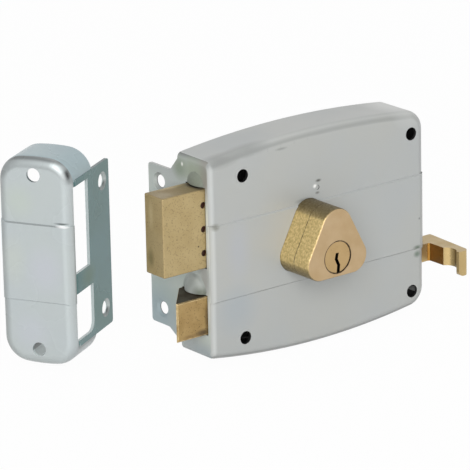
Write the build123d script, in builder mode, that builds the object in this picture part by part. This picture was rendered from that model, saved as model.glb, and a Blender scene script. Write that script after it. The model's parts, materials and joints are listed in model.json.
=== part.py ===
# Rim box lock with its box strike, after a photograph. Millimetres.
# The origin is the key's axis on the door face: +X runs from the forend to the pull, +Y into the
# door, and +Z up. So the case stands in front of y = 0, and only the forend's flange passes it.
from build123d import *
from math import acos, atan, atan2, cos, degrees, hypot, pi, sin
import os

os.makedirs("parts", exist_ok=True)

overrun = 4.0  # how far every cut runs past the face that it opens

# Case: one drawn sheet with the forend and its flange
sheet = 1.5
backset = 60.0
case_width = 135.0
case_depth = 25.0
case_end_height = 99.3
top_crown = 4.6
foot_crown = 5.7
case_lift = 4.55
front_round = 4.5
forend_round = 2.8  # the bend at the forend is the tighter one
far_round = 10.0
band_rise = 0.7
band_ramp = 0.65
band_height = 38.8
band_lift = 3.1
hole_setback = 20.0
hole_far_setback = 9.0
hole_margin = 17.3
hole_lift = 3.2
corner_bore = 6.6
mark_bore = 2.4
mark_depth = 0.35
mark_x = 6.0
mark_z = 29.0

# Forend flange, which screws to the edge of the door
flange_reach = 23.5
flange_height = 81.0
flange_lift = 4.0
flange_corner = 1.6
riser_end_top = 6.0
riser_end_bottom = 9.6
riser_round = 3.0
flange_hole_out = 14.9
flange_hole_span = 64.8
flange_bore = 6.2
flange_sink = 9.2
flange_sink_angle = 110
flange_sheet = 1.4  # the bend draws the sheet a little thinner
latch_hood_rise = 3.8  # hoods pressed out above the two bolts, each a piece of a ball
latch_hood_ball = 10.3
bolt_hood_rise = 1.6
bolt_hood_ball = 12.0
hood_round = 3.0

# Deadbolt
bolt_bottom = 1.0
bolt_height = 39.8
bolt_front_gap = 4.0
bolt_back_gap = 6.6
bolt_throw = 25.2
bolt_inside = 14.0
bolt_edge = 0.7
bolt_travel = 24.5
slot_gap = 0.4
rivet_bore = 3.3
rivet_pitch = 12.0
rivet_out = 1.0
rivet_sunk = 0.8
fit_gap = 0.05

# Latch
latch_lift = -23.0
latch_height = 19.6
latch_back_gap = 2.0
latch_throw = 18.2
latch_heel = 2.5
latch_nose = 0.8
latch_inside = 22.0
latch_travel = 16.5
latch_edge = 0.5

# Tail plate of the deadbolt, with its rack, and the pinion
tail_front = 10.5
tail_thickness = 3.4
tail_in_head = 6.0
tail_margin = 4.0
tail_end = 8.0
tail_top = 30.0
tooth_count = 8
pitch_radius = bolt_travel / (2 * pi)
tooth_above = 0.8
tooth_below = 1.1
tooth_share = 0.36
tooth_tip_share = 0.55
tooth_root_share = 1.15
rack_spare = 2
pinion_front = 11.2
pinion_face = 5.0
hub_radius = 4.8
hub_gap = 0.08
hub_sunk = 0.3
cam_radius = 8.2
cam_width = 4.2
cam_front = 5.8
cam_thickness = 2.2
tail_slot_width = 7.8

# Cylinder, its plug and pins
cylinder_proud = 22.3
cylinder_rear = 15.0
apex_radius = 9.5
apex_z = 15.0
lobe_radius = 8.4
lobe_x = 10.0
lobe_z = -1.7
cylinder_edge = 0.9
cover_gap = 0.15
plug_radius = 8.0
plug_gap = 0.08
plug_sunk = 0.35
plug_rear = 12.2
keyway_top = 2.1
keyway_width = 1.9
keyway_wave = 0.75
keyway_bend_shares = ((0, 0), (-1, 0.25), (1, 0.52), (0.2, 1))  # sideways, and down from the top
key_slot_width = 2.6
key_slot_height = 11.0
key_slot_depth = 3.0
tongue_gap = 0.15
clip_radius = 9.6
clip_thickness = 0.9
clip_groove = 0.9
clip_gap = 0.15
clip_mouth = 9.0
pin_count = 5
pin_pitch = 4.0
first_pin = 5.0
pin_radius = 1.35
chamber_gap = 0.12
chamber_top = 20.5
pin_foot_above_keyway = 0.5
pin_point = 0.6
driver_length = 4.6
shear_gap = 0.12
pin_spring_wire = 0.4
pin_spring_turns = 5
pin_spring_sides = 4
pin_spring_steps = 8
spring_end_gap = 0.1

# Back plate, posts and screws
plate_thickness = 1.5
plate_gap = 0.15
post_radius = 3.5
post_left = -20.0
post_right = 50.0
post_margin = 6.4
screw_core = 1.9
screw_head = 3.4
screw_sink_angle = 90
screw_slot = 0.8
screw_slot_depth = 0.6
post_screw_length = 9.0
spacer_radius = 3.4
lobe_screw_x = -13.0
lobe_screw_z = -3.0
apex_screw_z = 16.0
cylinder_screw_grip = 8.0
bush_outer = 8.0
bush_flange = 9.4
bush_flange_thickness = 1.3
tail_key_width = 2.2
tail_key_height = 8.0
tail_key_depth = 5.0

# Latch rod, its bracket and spring
rod_radius = 3.0
rod_in_latch = 8.0
rod_in_pull = 9.0
bracket_x = -13.0
bracket_thickness = 1.6
bracket_height = 17.0
bracket_reach = 17.5
bracket_foot = 11.0
bracket_gap = 0.15
bracket_rivet_radius = 1.5
rivet_head_radius = 2.6
rivet_head_height = 1.0
rivet_place_share = 0.62
rivet_level_share = 0.25
spring_radius = 4.9
spring_wire = 1.0
spring_turns = 6
spring_sides = 6
spring_steps = 12

# Pull: a cast hook with a scooped finger grip and a lip that hangs lower
pull_height = 9.3
pull_thickness = 10.8
pull_inside = 31.0
pull_out = 19.4
pull_grip_in = 9.7
pull_block = 10.7
scoop_depth = 2.9
scoop_length = 7.4
scoop_deepest_share = 0.6
lip_back = 1.4
lip_in = 0.9
lip_nose = 2.0
lip_thickness = 3.0
lip_drop = 3.7
pull_nose_round = 3.0
pull_inner_round = 1.4
pull_lean = 2.3
pull_pin_radius = 1.5
pull_corner = 3.0

# Latch lever, which the key's cam tips
lever_x = 27.0
lever_z = 3.0
lever_front = 5.8
lever_thickness = 2.2
lever_boss = 5.0
lever_arm = 4.0
lever_finger_x = 10.6
lever_finger_z = 4.6
lever_finger_radius = 1.5
lever_slot_gap = 0.45
lever_pin_radius = 1.5
lever_pivot_radius = 2.5
lever_pivot_gap = 0.1
pivot_head_radius = 3.6
pivot_head_thickness = 0.6

# Strike, which stands beside the lock, turned as the photograph shows it
strike_x = -131.5
strike_y = 49.5
strike_turn = -60.0
strike_width = 39.0
strike_height = 105.0
strike_sag = 2.2
strike_round = 5.5
strike_corner = 13.0
strike_flange_reach = 44.5
strike_flange_height = 84.0
strike_hole_span = 88.0
strike_bore = 7.0
window_lead = 0.5
bolt_window_spare = 1.2
latch_window_lack = 0.4
bolt_window_gap = 1.9
latch_window_gap = 2.1
latch_window_corner = 5.0
strike_hole_out = 36.7
strike_band_height = 39.6

# Places that follow from the sizes above
left = -backset
right = case_width - backset
middle_x = (left + right) / 2
front = -case_depth
hole_span = case_width - hole_setback - hole_far_setback
hole_rise = case_end_height - hole_margin
top_end = case_lift + case_end_height / 2
bottom_end = case_lift - case_end_height / 2
hole_x = left + hole_setback + hole_span / 2
bolt_front = front + bolt_front_gap
bolt_back = -bolt_back_gap
bolt_thickness = bolt_back - bolt_front
bolt_top = bolt_bottom + bolt_height
bolt_tip = left - bolt_throw
bolt_heel = left + bolt_inside
latch_front = bolt_front
latch_back = -latch_back_gap
latch_thickness = latch_back - latch_front
latch_top = latch_lift + latch_height / 2
latch_bottom = latch_lift - latch_height / 2
latch_tip = left - latch_throw
latch_end = left + latch_inside
rod_y = (latch_front + latch_back) / 2
face = front - cylinder_proud
cylinder_back = -cylinder_rear
plug_front = face + plug_sunk
plate_front = -plate_thickness
tail_y = -tail_front
tail_back = tail_y + tail_thickness
pull_front = rod_y - pull_thickness / 2
pull_back = rod_y + pull_thickness / 2
pull_start = right - pull_inside
pull_end = right + pull_out
rivet_x = left - rivet_out
bolt_middle = bolt_bottom + bolt_height / 2
post_levels = (bottom_end + post_margin, top_end - post_margin)
post_places = [(x, z) for x in (post_left, post_right) for z in post_levels]
corner_places = [
    (hole_x + side * hole_span / 2, hole_lift + level * hole_rise / 2)
    for side in (-1, 1)
    for level in (-1, 1)
]
cylinder_screw_places = [(lobe_screw_x, lobe_screw_z), (0, apex_screw_z)]


def wall_plane(y):
    """A sketch plane at y, seen from the front, with its own up along +Z."""
    return Plane.XZ.offset(-y)


def side_plane(x):
    """A sketch plane at x, whose right is +Y and whose up is +Z."""
    return Plane.YZ.offset(x)


def case_outline(inset):
    """The case seen from the front: barrel-shaped above and below, with two round far corners."""
    x_left, x_right = left + inset, right - inset
    z_top, z_bottom = top_end - inset, bottom_end + inset
    with BuildSketch() as outline:
        with BuildLine():
            Line((x_left, z_bottom), (x_left, z_top))
            ThreePointArc((x_left, z_top), (middle_x, z_top + top_crown), (x_right, z_top))
            Line((x_right, z_top), (x_right, z_bottom))
            ThreePointArc((x_right, z_bottom), (middle_x, z_bottom - foot_crown), (x_left, z_bottom))
        make_face()
        fillet(outline.vertices().group_by(Axis.X)[-1], far_round - inset)
    return outline.sketch


def case_block(inset, back, rise):
    """A solid of the case's outline up to back, its front edges round and the forend's tighter."""
    with BuildPart() as block:
        with BuildSketch(wall_plane(back)):
            add(case_outline(inset))
        extrude(amount=back + case_depth - inset + rise)
        front_edges = block.faces().sort_by(Axis.Y)[0].edges().sort_by(Axis.X)
        fillet(front_edges[1:], front_round - inset)
        side_edges = block.faces().sort_by(Axis.X)[0].edges().sort_by(Axis.Y)
        fillet(side_edges[:-1], forend_round - inset)
    return block.part


def band_section(front_at, back_at, middle, height):
    """The band's section, across the front: it stands out by its rise, with a ramp above and below."""
    half = height / 2
    return [
        (back_at, middle + half),
        (front_at, middle + half),
        (front_at - band_rise, middle + half - band_ramp),
        (front_at - band_rise, middle - half + band_ramp),
        (front_at, middle - half),
        (back_at, middle - half),
    ]


def pear(gap):
    """The cylinder's outline: a round apex over two round lobes, joined by their tangents."""
    apex_r, lobe_r = apex_radius + gap, lobe_radius + gap
    lean = atan2(lobe_z - apex_z, lobe_x) + acos((apex_r - lobe_r) / hypot(lobe_x, apex_z - lobe_z))
    high = (apex_r * cos(lean), apex_z + apex_r * sin(lean))
    low = (lobe_x + lobe_r * cos(lean), lobe_z + lobe_r * sin(lean))
    turn = (lean - pi / 2) / 2
    bulge = (lobe_x + lobe_r * cos(turn), lobe_z + lobe_r * sin(turn))
    foot = (lobe_x, lobe_z - lobe_r)
    with BuildSketch() as outline:
        with BuildLine():
            ThreePointArc((-high[0], high[1]), (0, apex_z + apex_r), high)
            Line(high, low)
            ThreePointArc(low, bulge, foot)
            Line(foot, (-foot[0], foot[1]))
            ThreePointArc((-foot[0], foot[1]), (-bulge[0], bulge[1]), (-low[0], low[1]))
            Line((-low[0], low[1]), (-high[0], high[1]))
        make_face()
    return outline.sketch


def coil(start, ahead, radius, pitch, turns, steps):
    """Points of a coil, so many steps to the turn, that winds from start along ahead."""
    frame = Plane(start, z_dir=ahead)
    turned = [2 * pi * i / steps for i in range(turns * steps + 1)]
    places = [(radius * cos(a), radius * sin(a), pitch * a / (2 * pi)) for a in turned]
    return [frame.from_local_coords(place) for place in places]


def coil_gap(points, steps, wire):
    """The least gap of a coil to its own next turn, measured between its points."""
    near = [
        (points[i] - points[j]).length
        for i in range(len(points))
        for j in range(i + steps // 2, len(points))
    ]
    return round(min(near) - wire, 2)


def sunk_profile(length):
    """Half the section of a countersunk screw whose head lies flush with the door face."""
    with BuildSketch() as profile:
        with BuildLine():
            Polyline(
                (0, 0),
                (screw_head, 0),
                (screw_core, screw_core - screw_head),
                (screw_core, -length),
                (0, -length),
                close=True,
            )
        make_face()
    return profile.sketch


case_solid = case_block(0, 0, 0)
case_hollow = case_block(sheet, overrun, 0)
case_raised = case_block(0, 0, band_rise)
plate_face = case_outline(sheet + plate_gap)
pear_face = pear(0)
pear_hole = pear(cover_gap)
forend_top = flange_lift + flange_height / 2
forend_bottom = flange_lift - flange_height / 2
flange_hole_places = [flange_lift + level * flange_hole_span / 2 for level in (-1, 1)]

# The raised band runs round the front's edges and ends flush with the sides
with BuildPart() as case_band:
    add(case_raised)
    with BuildSketch(side_plane(left)):
        with BuildLine():
            Polyline(*band_section(front, 0, band_lift, band_height), close=True)
        make_face()
    extrude(amount=case_width, mode=Mode.INTERSECT)

# Each hood's centre in y and z, its rise and its ball; the part that stays is that of the forend
hoods = [
    (rod_y, latch_top + slot_gap, latch_hood_rise, latch_hood_ball),
    ((bolt_front + bolt_back) / 2, bolt_top + slot_gap, bolt_hood_rise, bolt_hood_ball),
]
with BuildPart() as hood_solid:
    for y, z, rise, ball in hoods:
        with Locations((left - rise + ball, y, z)):
            Sphere(ball)
    split(bisect_by=side_plane(left + sheet), keep=Keep.BOTTOM)
with BuildPart() as hood_hollow:
    for y, z, rise, ball in hoods:
        with Locations((left - rise + ball, y, z)):
            Sphere(ball - sheet)
    split(bisect_by=side_plane(left + sheet + fit_gap), keep=Keep.BOTTOM)

# Case shell: one drawn sheet with its raised band, its openings and the forend's flange
with BuildPart() as case_shell:
    add(case_solid)
    add(case_band.part)
    add(hood_solid.part)
    rims = case_shell.edges().filter_by(GeomType.CIRCLE)
    fillet([rim for rim in rims if abs(rim.arc_center.X - left) < fit_gap], hood_round)
    add(case_hollow, mode=Mode.SUBTRACT)
    add(hood_hollow.part, mode=Mode.SUBTRACT)
    with BuildSketch(side_plane(left)) as forend:
        with BuildLine():
            Polyline(
                (-forend_round, top_end - forend_round),
                (0, top_end - forend_round),
                (riser_end_top, forend_top),
                (flange_reach, forend_top),
                (flange_reach, forend_bottom),
                (riser_end_bottom, forend_bottom),
                (0, bottom_end + forend_round),
                (-forend_round, bottom_end + forend_round),
                close=True,
            )
        make_face()
        fillet(forend.vertices().group_by(Axis.X)[-1], flange_corner)
        inner = [v for v in forend.vertices() if 0 < v.X < riser_end_bottom + sheet]
        fillet(inner, riser_round)
    extrude(amount=flange_sheet)
    with BuildSketch(wall_plane(front - overrun)):
        with Locations(*corner_places):
            Circle(corner_bore / 2)
        add(pear_hole)
    extrude(amount=-2 * overrun, mode=Mode.SUBTRACT)
    with BuildSketch(side_plane(left - overrun)):
        with Locations(((bolt_front + bolt_back) / 2, bolt_middle)):
            Rectangle(bolt_thickness + 2 * slot_gap, bolt_height + 2 * slot_gap)
        with Locations((rod_y, latch_lift)):
            Rectangle(latch_thickness + 2 * slot_gap, latch_height + 2 * slot_gap)
    extrude(amount=2 * overrun, mode=Mode.SUBTRACT)
    with BuildSketch(side_plane(right - overrun)):
        with Locations((rod_y, latch_lift)):
            Rectangle(pull_thickness + 2 * slot_gap, pull_height + 2 * slot_gap)
    extrude(amount=2 * overrun, mode=Mode.SUBTRACT)
    for z in flange_hole_places:
        with Locations(Plane((left, flange_hole_out, z), z_dir=(-1, 0, 0))):
            CounterSinkHole(flange_bore / 2, flange_sink / 2, overrun, flange_sink_angle)
    with Locations(Plane((mark_x, front, mark_z), z_dir=(0, -1, 0))):
        Hole(mark_bore / 2, mark_depth)
case_shell.part.label = "case_shell"

# Back plate: it closes the case, flush with the rim
bracket_rivet_places = [
    (bracket_x + bracket_foot * rivet_place_share, latch_lift + level * bracket_height * rivet_level_share)
    for level in (-1, 1)
]
with BuildPart() as back_plate:
    with BuildSketch(wall_plane(0)) as plate_outline:
        add(plate_face)
        fillet(plate_outline.vertices().group_by(Axis.X)[0], forend_round - sheet - plate_gap)
        with Locations(*corner_places):
            Circle(corner_bore / 2, mode=Mode.SUBTRACT)
        Circle(bush_outer, mode=Mode.SUBTRACT)
        with Locations(*bracket_rivet_places):
            Circle(bracket_rivet_radius, mode=Mode.SUBTRACT)
        with Locations((lever_x, lever_z)):
            Circle(lever_pivot_radius + fit_gap, mode=Mode.SUBTRACT)
    extrude(amount=plate_thickness)
    for x, z in post_places + cylinder_screw_places:
        with Locations(Plane((x, 0, z), z_dir=(0, 1, 0))):
            CounterSinkHole(screw_core + fit_gap, screw_head + fit_gap, overrun, screw_sink_angle)
back_plate.part.label = "back_plate"

# Posts staked to the front, which the back plate is screwed to
with BuildPart() as case_posts:
    with BuildSketch(wall_plane(plate_front)):
        with Locations(*post_places):
            Circle(post_radius)
    extrude(amount=case_depth - plate_thickness - sheet)
    with BuildSketch(wall_plane(plate_front)):
        with Locations(*post_places):
            Circle(screw_core + fit_gap)
    extrude(amount=post_screw_length, mode=Mode.SUBTRACT)
case_posts.part.label = "case_posts"

with BuildPart() as back_screws:
    for x, z in post_places:
        with BuildSketch(Plane((x, 0, z))):
            add(sunk_profile(post_screw_length))
        revolve(axis=Axis((x, 0, z), (0, 1, 0)))
    with BuildSketch(wall_plane(0)):
        with Locations(*post_places):
            Rectangle(2 * screw_head + overrun, screw_slot)
    extrude(amount=screw_slot_depth, mode=Mode.SUBTRACT)
back_screws.part.label = "back_screws"

# Cylinder body: the pear that stands through the front, bored for the plug and the pins
pin_places = [face + first_pin + i * pin_pitch for i in range(pin_count)]
with BuildPart() as cylinder_body:
    with BuildSketch(wall_plane(cylinder_back)):
        add(pear_face)
    extrude(amount=cylinder_back - face)
    fillet(cylinder_body.faces().sort_by(Axis.Y)[0].edges(), cylinder_edge)
    with BuildSketch(wall_plane(cylinder_back + overrun)):
        Circle(plug_radius + plug_gap)
    extrude(amount=cylinder_back - face + 2 * overrun, mode=Mode.SUBTRACT)
    with BuildSketch(Plane.XY):
        with Locations(*[(0, y) for y in pin_places]):
            Circle(pin_radius + chamber_gap)
    extrude(amount=chamber_top, mode=Mode.SUBTRACT)
    with BuildSketch(wall_plane(cylinder_back)):
        with Locations(*cylinder_screw_places):
            Circle(screw_core + fit_gap)
    extrude(amount=cylinder_screw_grip, mode=Mode.SUBTRACT)
cylinder_body.part.label = "cylinder_body"

with BuildPart() as cylinder_screws:
    for x, z in cylinder_screw_places:
        with BuildSketch(Plane((x, 0, z))):
            add(sunk_profile(cylinder_rear + cylinder_screw_grip - spring_end_gap))
        revolve(axis=Axis((x, 0, z), (0, 1, 0)))
    with BuildSketch(wall_plane(0)):
        with Locations(*cylinder_screw_places):
            Rectangle(2 * screw_head + overrun, screw_slot)
    extrude(amount=screw_slot_depth, mode=Mode.SUBTRACT)
cylinder_screws.part.label = "cylinder_screws"

with BuildPart() as cylinder_spacers:
    with BuildSketch(wall_plane(plate_front)):
        with Locations(*cylinder_screw_places):
            Circle(spacer_radius)
            Circle(screw_core + fit_gap, mode=Mode.SUBTRACT)
    extrude(amount=cylinder_rear - plate_thickness)
cylinder_spacers.part.label = "cylinder_spacers"

# Key plug: waved keyway from the axis to the rim, pin holes above it, a slot at the rear
keyway_line = [
    (wave * keyway_wave, keyway_top - drop * (keyway_top + plug_radius + keyway_width))
    for wave, drop in keyway_bend_shares
]
with BuildPart() as key_plug:
    with BuildSketch(wall_plane(-plug_rear)):
        Circle(plug_radius)
        with BuildLine():
            Polyline(
                *[(x + keyway_width / 2, z) for x, z in keyway_line],
                *[(x - keyway_width / 2, z) for x, z in reversed(keyway_line)],
                close=True,
            )
        make_face(mode=Mode.SUBTRACT)
    extrude(amount=-plug_rear - plug_front)
    with BuildSketch(wall_plane(cylinder_back + clip_gap + clip_thickness)):
        Circle(plug_radius + overrun)
        Circle(plug_radius - clip_groove, mode=Mode.SUBTRACT)
    extrude(amount=clip_thickness, mode=Mode.SUBTRACT)
    with BuildSketch(Plane.XY.offset(keyway_top - pin_radius)):
        with Locations(*[(0, y) for y in pin_places]):
            Circle(pin_radius + chamber_gap)
    extrude(amount=plug_radius + overrun, mode=Mode.SUBTRACT)
    with BuildSketch(wall_plane(-plug_rear)):
        Rectangle(key_slot_height, key_slot_width)
    extrude(amount=key_slot_depth, mode=Mode.SUBTRACT)
key_plug.part.label = "key_plug"

with BuildPart() as plug_clip:
    with BuildSketch(wall_plane(cylinder_back + clip_gap + clip_thickness - fit_gap)):
        Circle(clip_radius)
        Circle(plug_radius - clip_groove + fit_gap, mode=Mode.SUBTRACT)
        with Locations((0, -clip_radius)):
            Rectangle(clip_mouth, clip_radius, mode=Mode.SUBTRACT)
    extrude(amount=clip_thickness - 2 * fit_gap)
plug_clip.part.label = "plug_clip"

# Pins stand at the shear line, as with the right key in
pin_foot = keyway_top + pin_foot_above_keyway
with BuildPart() as key_pins:
    with BuildSketch(Plane.XY.offset(pin_foot)):
        with Locations(*[(0, y) for y in pin_places]):
            Circle(pin_radius)
    extrude(amount=plug_radius - shear_gap - pin_foot)
    chamfer(key_pins.edges().group_by(Axis.Z)[0], pin_point)
key_pins.part.label = "key_pins"

driver_foot = plug_radius + shear_gap
with BuildPart() as driver_pins:
    with BuildSketch(Plane.XY.offset(driver_foot)):
        with Locations(*[(0, y) for y in pin_places]):
            Circle(pin_radius)
    extrude(amount=driver_length)
driver_pins.part.label = "driver_pins"

spring_foot = driver_foot + driver_length + pin_spring_wire / 2 + spring_end_gap
spring_rise = chamber_top - spring_end_gap - pin_spring_wire / 2 - spring_foot
pin_spring_radius = pin_radius - pin_spring_wire / 2
pin_spring_pitch = spring_rise / pin_spring_turns
with BuildPart() as pin_springs:
    for y in pin_places:
        foot = (0, y, spring_foot)
        winding = coil(
            foot, (0, 0, 1), pin_spring_radius, pin_spring_pitch, pin_spring_turns, pin_spring_steps
        )
        with BuildLine():
            wire = Polyline(*winding)
        with BuildSketch(Plane(winding[0], z_dir=winding[1] - winding[0])):
            RegularPolygon(pin_spring_wire / 2, pin_spring_sides)
        sweep(path=wire, transition=Transition.RIGHT)
pin_springs.part.label = "pin_springs"
print("pin spring gap to itself", coil_gap(winding, pin_spring_steps, pin_spring_wire), "mm")

# Drive pinion: teeth for the rack, a cam for the lever, a hub that turns in the bush, and the
# tongue that the plug drives; its rear slot takes the outer cylinder's tailpiece
tooth_pitch = 2 * pi * pitch_radius / tooth_count
tooth_width = tooth_pitch * tooth_share
root_radius = pitch_radius - tooth_below
tooth_side = [
    (root_radius, tooth_width * tooth_root_share / 2),
    (pitch_radius, tooth_width / 2),
    (pitch_radius + tooth_above, tooth_width * tooth_tip_share / 2),
]
tooth_outline = [(out, -side) for out, side in tooth_side] + tooth_side[::-1]
tooth_angles = [2 * pi * i / tooth_count for i in range(tooth_count)]
with BuildPart() as drive_pinion:
    with BuildSketch(wall_plane(pinion_face - pinion_front)):
        with BuildLine():
            Polyline(
                *[
                    (out * cos(a) - side * sin(a), out * sin(a) + side * cos(a))
                    for a in tooth_angles
                    for out, side in tooth_outline
                ],
                close=True,
            )
        make_face()
    extrude(amount=pinion_face)
    with BuildSketch(wall_plane(-hub_sunk)):
        Circle(hub_radius)
    extrude(amount=pinion_front - pinion_face - hub_sunk)
    with BuildSketch(wall_plane(cam_thickness - cam_front)):
        Circle(hub_radius)
        with Locations((0, cam_width / 2 - cam_radius)):
            Circle(cam_width / 2)
        make_hull()
    extrude(amount=cam_thickness)
    with BuildSketch(wall_plane(-pinion_front)):
        Rectangle(key_slot_height - 2 * tongue_gap, key_slot_width - 2 * tongue_gap)
    extrude(amount=plug_rear - pinion_front + key_slot_depth - tongue_gap)
    with BuildSketch(wall_plane(-hub_sunk)):
        Rectangle(tail_key_width, tail_key_height)
    extrude(amount=tail_key_depth, mode=Mode.SUBTRACT)
drive_pinion.part.label = "drive_pinion"

with BuildPart() as pinion_bush:
    with BuildSketch(wall_plane(0)):
        Circle(bush_outer)
    extrude(amount=plate_thickness)
    with BuildSketch(wall_plane(plate_front)):
        Circle(bush_flange)
    extrude(amount=bush_flange_thickness)
    with BuildSketch(wall_plane(0)):
        Circle(hub_radius + hub_gap)
    extrude(amount=plate_thickness + bush_flange_thickness, mode=Mode.SUBTRACT)
pinion_bush.part.label = "pinion_bush"

# Deadbolt: brass head, riveted to a steel tail whose lower edge is the rack
pocket_end = rivet_x - tail_in_head
with BuildPart() as deadbolt_head:
    with BuildSketch(wall_plane(bolt_back)):
        with Locations(((bolt_tip + bolt_heel) / 2, bolt_middle)):
            Rectangle(bolt_heel - bolt_tip, bolt_height)
    extrude(amount=bolt_thickness)
    groups = deadbolt_head.edges().group_by(Axis.X)
    fillet(groups[0] + groups[1], bolt_edge)
    with BuildSketch(wall_plane(tail_back + fit_gap)):
        with Locations(((pocket_end + bolt_heel + overrun) / 2, bolt_middle)):
            Rectangle(bolt_heel + overrun - pocket_end, bolt_height - 2 * tail_margin + 2 * fit_gap)
    extrude(amount=tail_thickness + 2 * fit_gap, mode=Mode.SUBTRACT)
    with BuildSketch(wall_plane(bolt_back + overrun)):
        with Locations(*[(rivet_x, bolt_middle + i * rivet_pitch) for i in (-1, 0, 1)]):
            Circle(rivet_bore / 2)
    extrude(amount=bolt_thickness + 2 * overrun, mode=Mode.SUBTRACT)
deadbolt_head.part.label = "deadbolt_head"

rack_root = pitch_radius + tooth_below
rack_tip = pitch_radius - tooth_above
rack_places = [(i + 0.5) * tooth_pitch for i in range(-tooth_count - rack_spare, rack_spare)]
with BuildPart() as deadbolt_tail:
    with BuildSketch(wall_plane(tail_back)):
        with BuildLine():
            Polyline(
                (pocket_end + fit_gap, bolt_bottom + tail_margin),
                (bolt_heel, bolt_bottom + tail_margin),
                (rack_places[0] - tooth_pitch, rack_root),
                (tail_end, rack_root),
                (tail_end, tail_top),
                (bolt_heel + bolt_inside, tail_top),
                (bolt_heel + overrun, bolt_top - tail_margin),
                (pocket_end + fit_gap, bolt_top - tail_margin),
                close=True,
            )
        make_face()
        for x in rack_places:
            with BuildLine():
                Polyline(
                    (x - tooth_width * tooth_root_share / 2, rack_root + tooth_below),
                    (x - tooth_width * tooth_root_share / 2, rack_root),
                    (x - tooth_width / 2, pitch_radius),
                    (x - tooth_width * tooth_tip_share / 2, rack_tip),
                    (x + tooth_width * tooth_tip_share / 2, rack_tip),
                    (x + tooth_width / 2, pitch_radius),
                    (x + tooth_width * tooth_root_share / 2, rack_root),
                    (x + tooth_width * tooth_root_share / 2, rack_root + tooth_below),
                    close=True,
                )
            make_face()
        with Locations((-bolt_travel / 2, apex_screw_z)):
            SlotCenterToCenter(bolt_travel, tail_slot_width, mode=Mode.SUBTRACT)
        with Locations(*[(rivet_x, bolt_middle + i * rivet_pitch) for i in (-1, 0, 1)]):
            Circle(rivet_bore / 2, mode=Mode.SUBTRACT)
    extrude(amount=tail_thickness)
deadbolt_tail.part.label = "deadbolt_tail"

with BuildPart() as deadbolt_rivets:
    with BuildSketch(wall_plane(bolt_back)):
        with Locations(*[(rivet_x, bolt_middle + i * rivet_pitch) for i in (-1, 0, 1)]):
            Circle(rivet_bore / 2 - fit_gap)
    extrude(amount=bolt_thickness - rivet_sunk)
deadbolt_rivets.part.label = "deadbolt_rivets"

# Latch: its slanted back faces the door frame
with BuildPart() as latch_bolt:
    with BuildSketch(Plane.XY.offset(latch_bottom)):
        with BuildLine():
            Polyline(
                (latch_tip, latch_front),
                (latch_tip, latch_front + latch_nose),
                (left - latch_heel, latch_back),
                (latch_end, latch_back),
                (latch_end, latch_front),
                close=True,
            )
        make_face()
    extrude(amount=latch_height)
    chamfer(latch_bolt.faces().sort_by(Axis.Y)[0].edges(), latch_edge)
    with BuildSketch(side_plane(latch_end - rod_in_latch)):
        with Locations((rod_y, latch_lift)):
            Circle(rod_radius + fit_gap)
    extrude(amount=rod_in_latch + overrun, mode=Mode.SUBTRACT)
latch_bolt.part.label = "latch_bolt"

lever_pin_x = lever_x - latch_travel / 2
pull_pin_x = pull_start + rod_in_pull / 2
with BuildPart() as latch_rod:
    with BuildSketch(side_plane(latch_end - rod_in_latch)):
        with Locations((rod_y, latch_lift)):
            Circle(rod_radius)
    extrude(amount=pull_start + rod_in_pull - latch_end + rod_in_latch)
    with BuildSketch(wall_plane(0)):
        with Locations((lever_pin_x, latch_lift)):
            Circle(lever_pin_radius + fit_gap)
    extrude(amount=case_depth, mode=Mode.SUBTRACT)
    with BuildSketch(Plane.XY.offset(latch_bottom)):
        with Locations((pull_pin_x, rod_y)):
            Circle(pull_pin_radius + fit_gap)
    extrude(amount=latch_height, mode=Mode.SUBTRACT)
latch_rod.part.label = "latch_rod"

lever_back = lever_thickness - lever_front
with BuildPart() as lever_pin:
    with BuildSketch(wall_plane(lever_back)):
        with Locations((lever_pin_x, latch_lift)):
            Circle(lever_pin_radius)
    extrude(amount=lever_back - rod_y + rod_radius)
lever_pin.part.label = "lever_pin"

# Bent bracket that guides the rod and takes the spring
with BuildPart() as latch_bracket:
    with BuildSketch(side_plane(bracket_x)):
        with Locations((plate_front - bracket_reach / 2, latch_lift)):
            Rectangle(bracket_reach, bracket_height)
        with Locations((rod_y, latch_lift)):
            Circle(rod_radius + bracket_gap, mode=Mode.SUBTRACT)
    extrude(amount=bracket_thickness)
    with BuildSketch(wall_plane(plate_front)):
        with Locations((bracket_x + bracket_foot / 2, latch_lift)):
            Rectangle(bracket_foot, bracket_height)
    extrude(amount=bracket_thickness)
    with BuildSketch(wall_plane(0)):
        with Locations(*bracket_rivet_places):
            Circle(bracket_rivet_radius)
    extrude(amount=plate_thickness + bracket_thickness, mode=Mode.SUBTRACT)
latch_bracket.part.label = "latch_bracket"

with BuildPart() as bracket_rivets:
    with BuildSketch(wall_plane(0)):
        with Locations(*bracket_rivet_places):
            Circle(bracket_rivet_radius)
    extrude(amount=plate_thickness + bracket_thickness)
    with BuildSketch(wall_plane(plate_front - bracket_thickness)):
        with Locations(*bracket_rivet_places):
            Circle(rivet_head_radius)
    extrude(amount=rivet_head_height)
bracket_rivets.part.label = "bracket_rivets"

spring_start = latch_end + spring_wire / 2 + spring_end_gap
spring_length = bracket_x - spring_wire / 2 - spring_end_gap - spring_start
spring_pitch = spring_length / spring_turns
latch_winding = coil(
    (spring_start, rod_y, latch_lift), (1, 0, 0), spring_radius, spring_pitch, spring_turns, spring_steps
)
with BuildPart() as latch_spring:
    with BuildLine():
        wire = Polyline(*latch_winding)
    with BuildSketch(Plane(latch_winding[0], z_dir=latch_winding[1] - latch_winding[0])):
        RegularPolygon(spring_wire / 2, spring_sides)
    sweep(path=wire, transition=Transition.RIGHT)
latch_spring.part.label = "latch_spring"
print("latch spring gap to itself", coil_gap(latch_winding, spring_steps, spring_wire), "mm")

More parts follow.
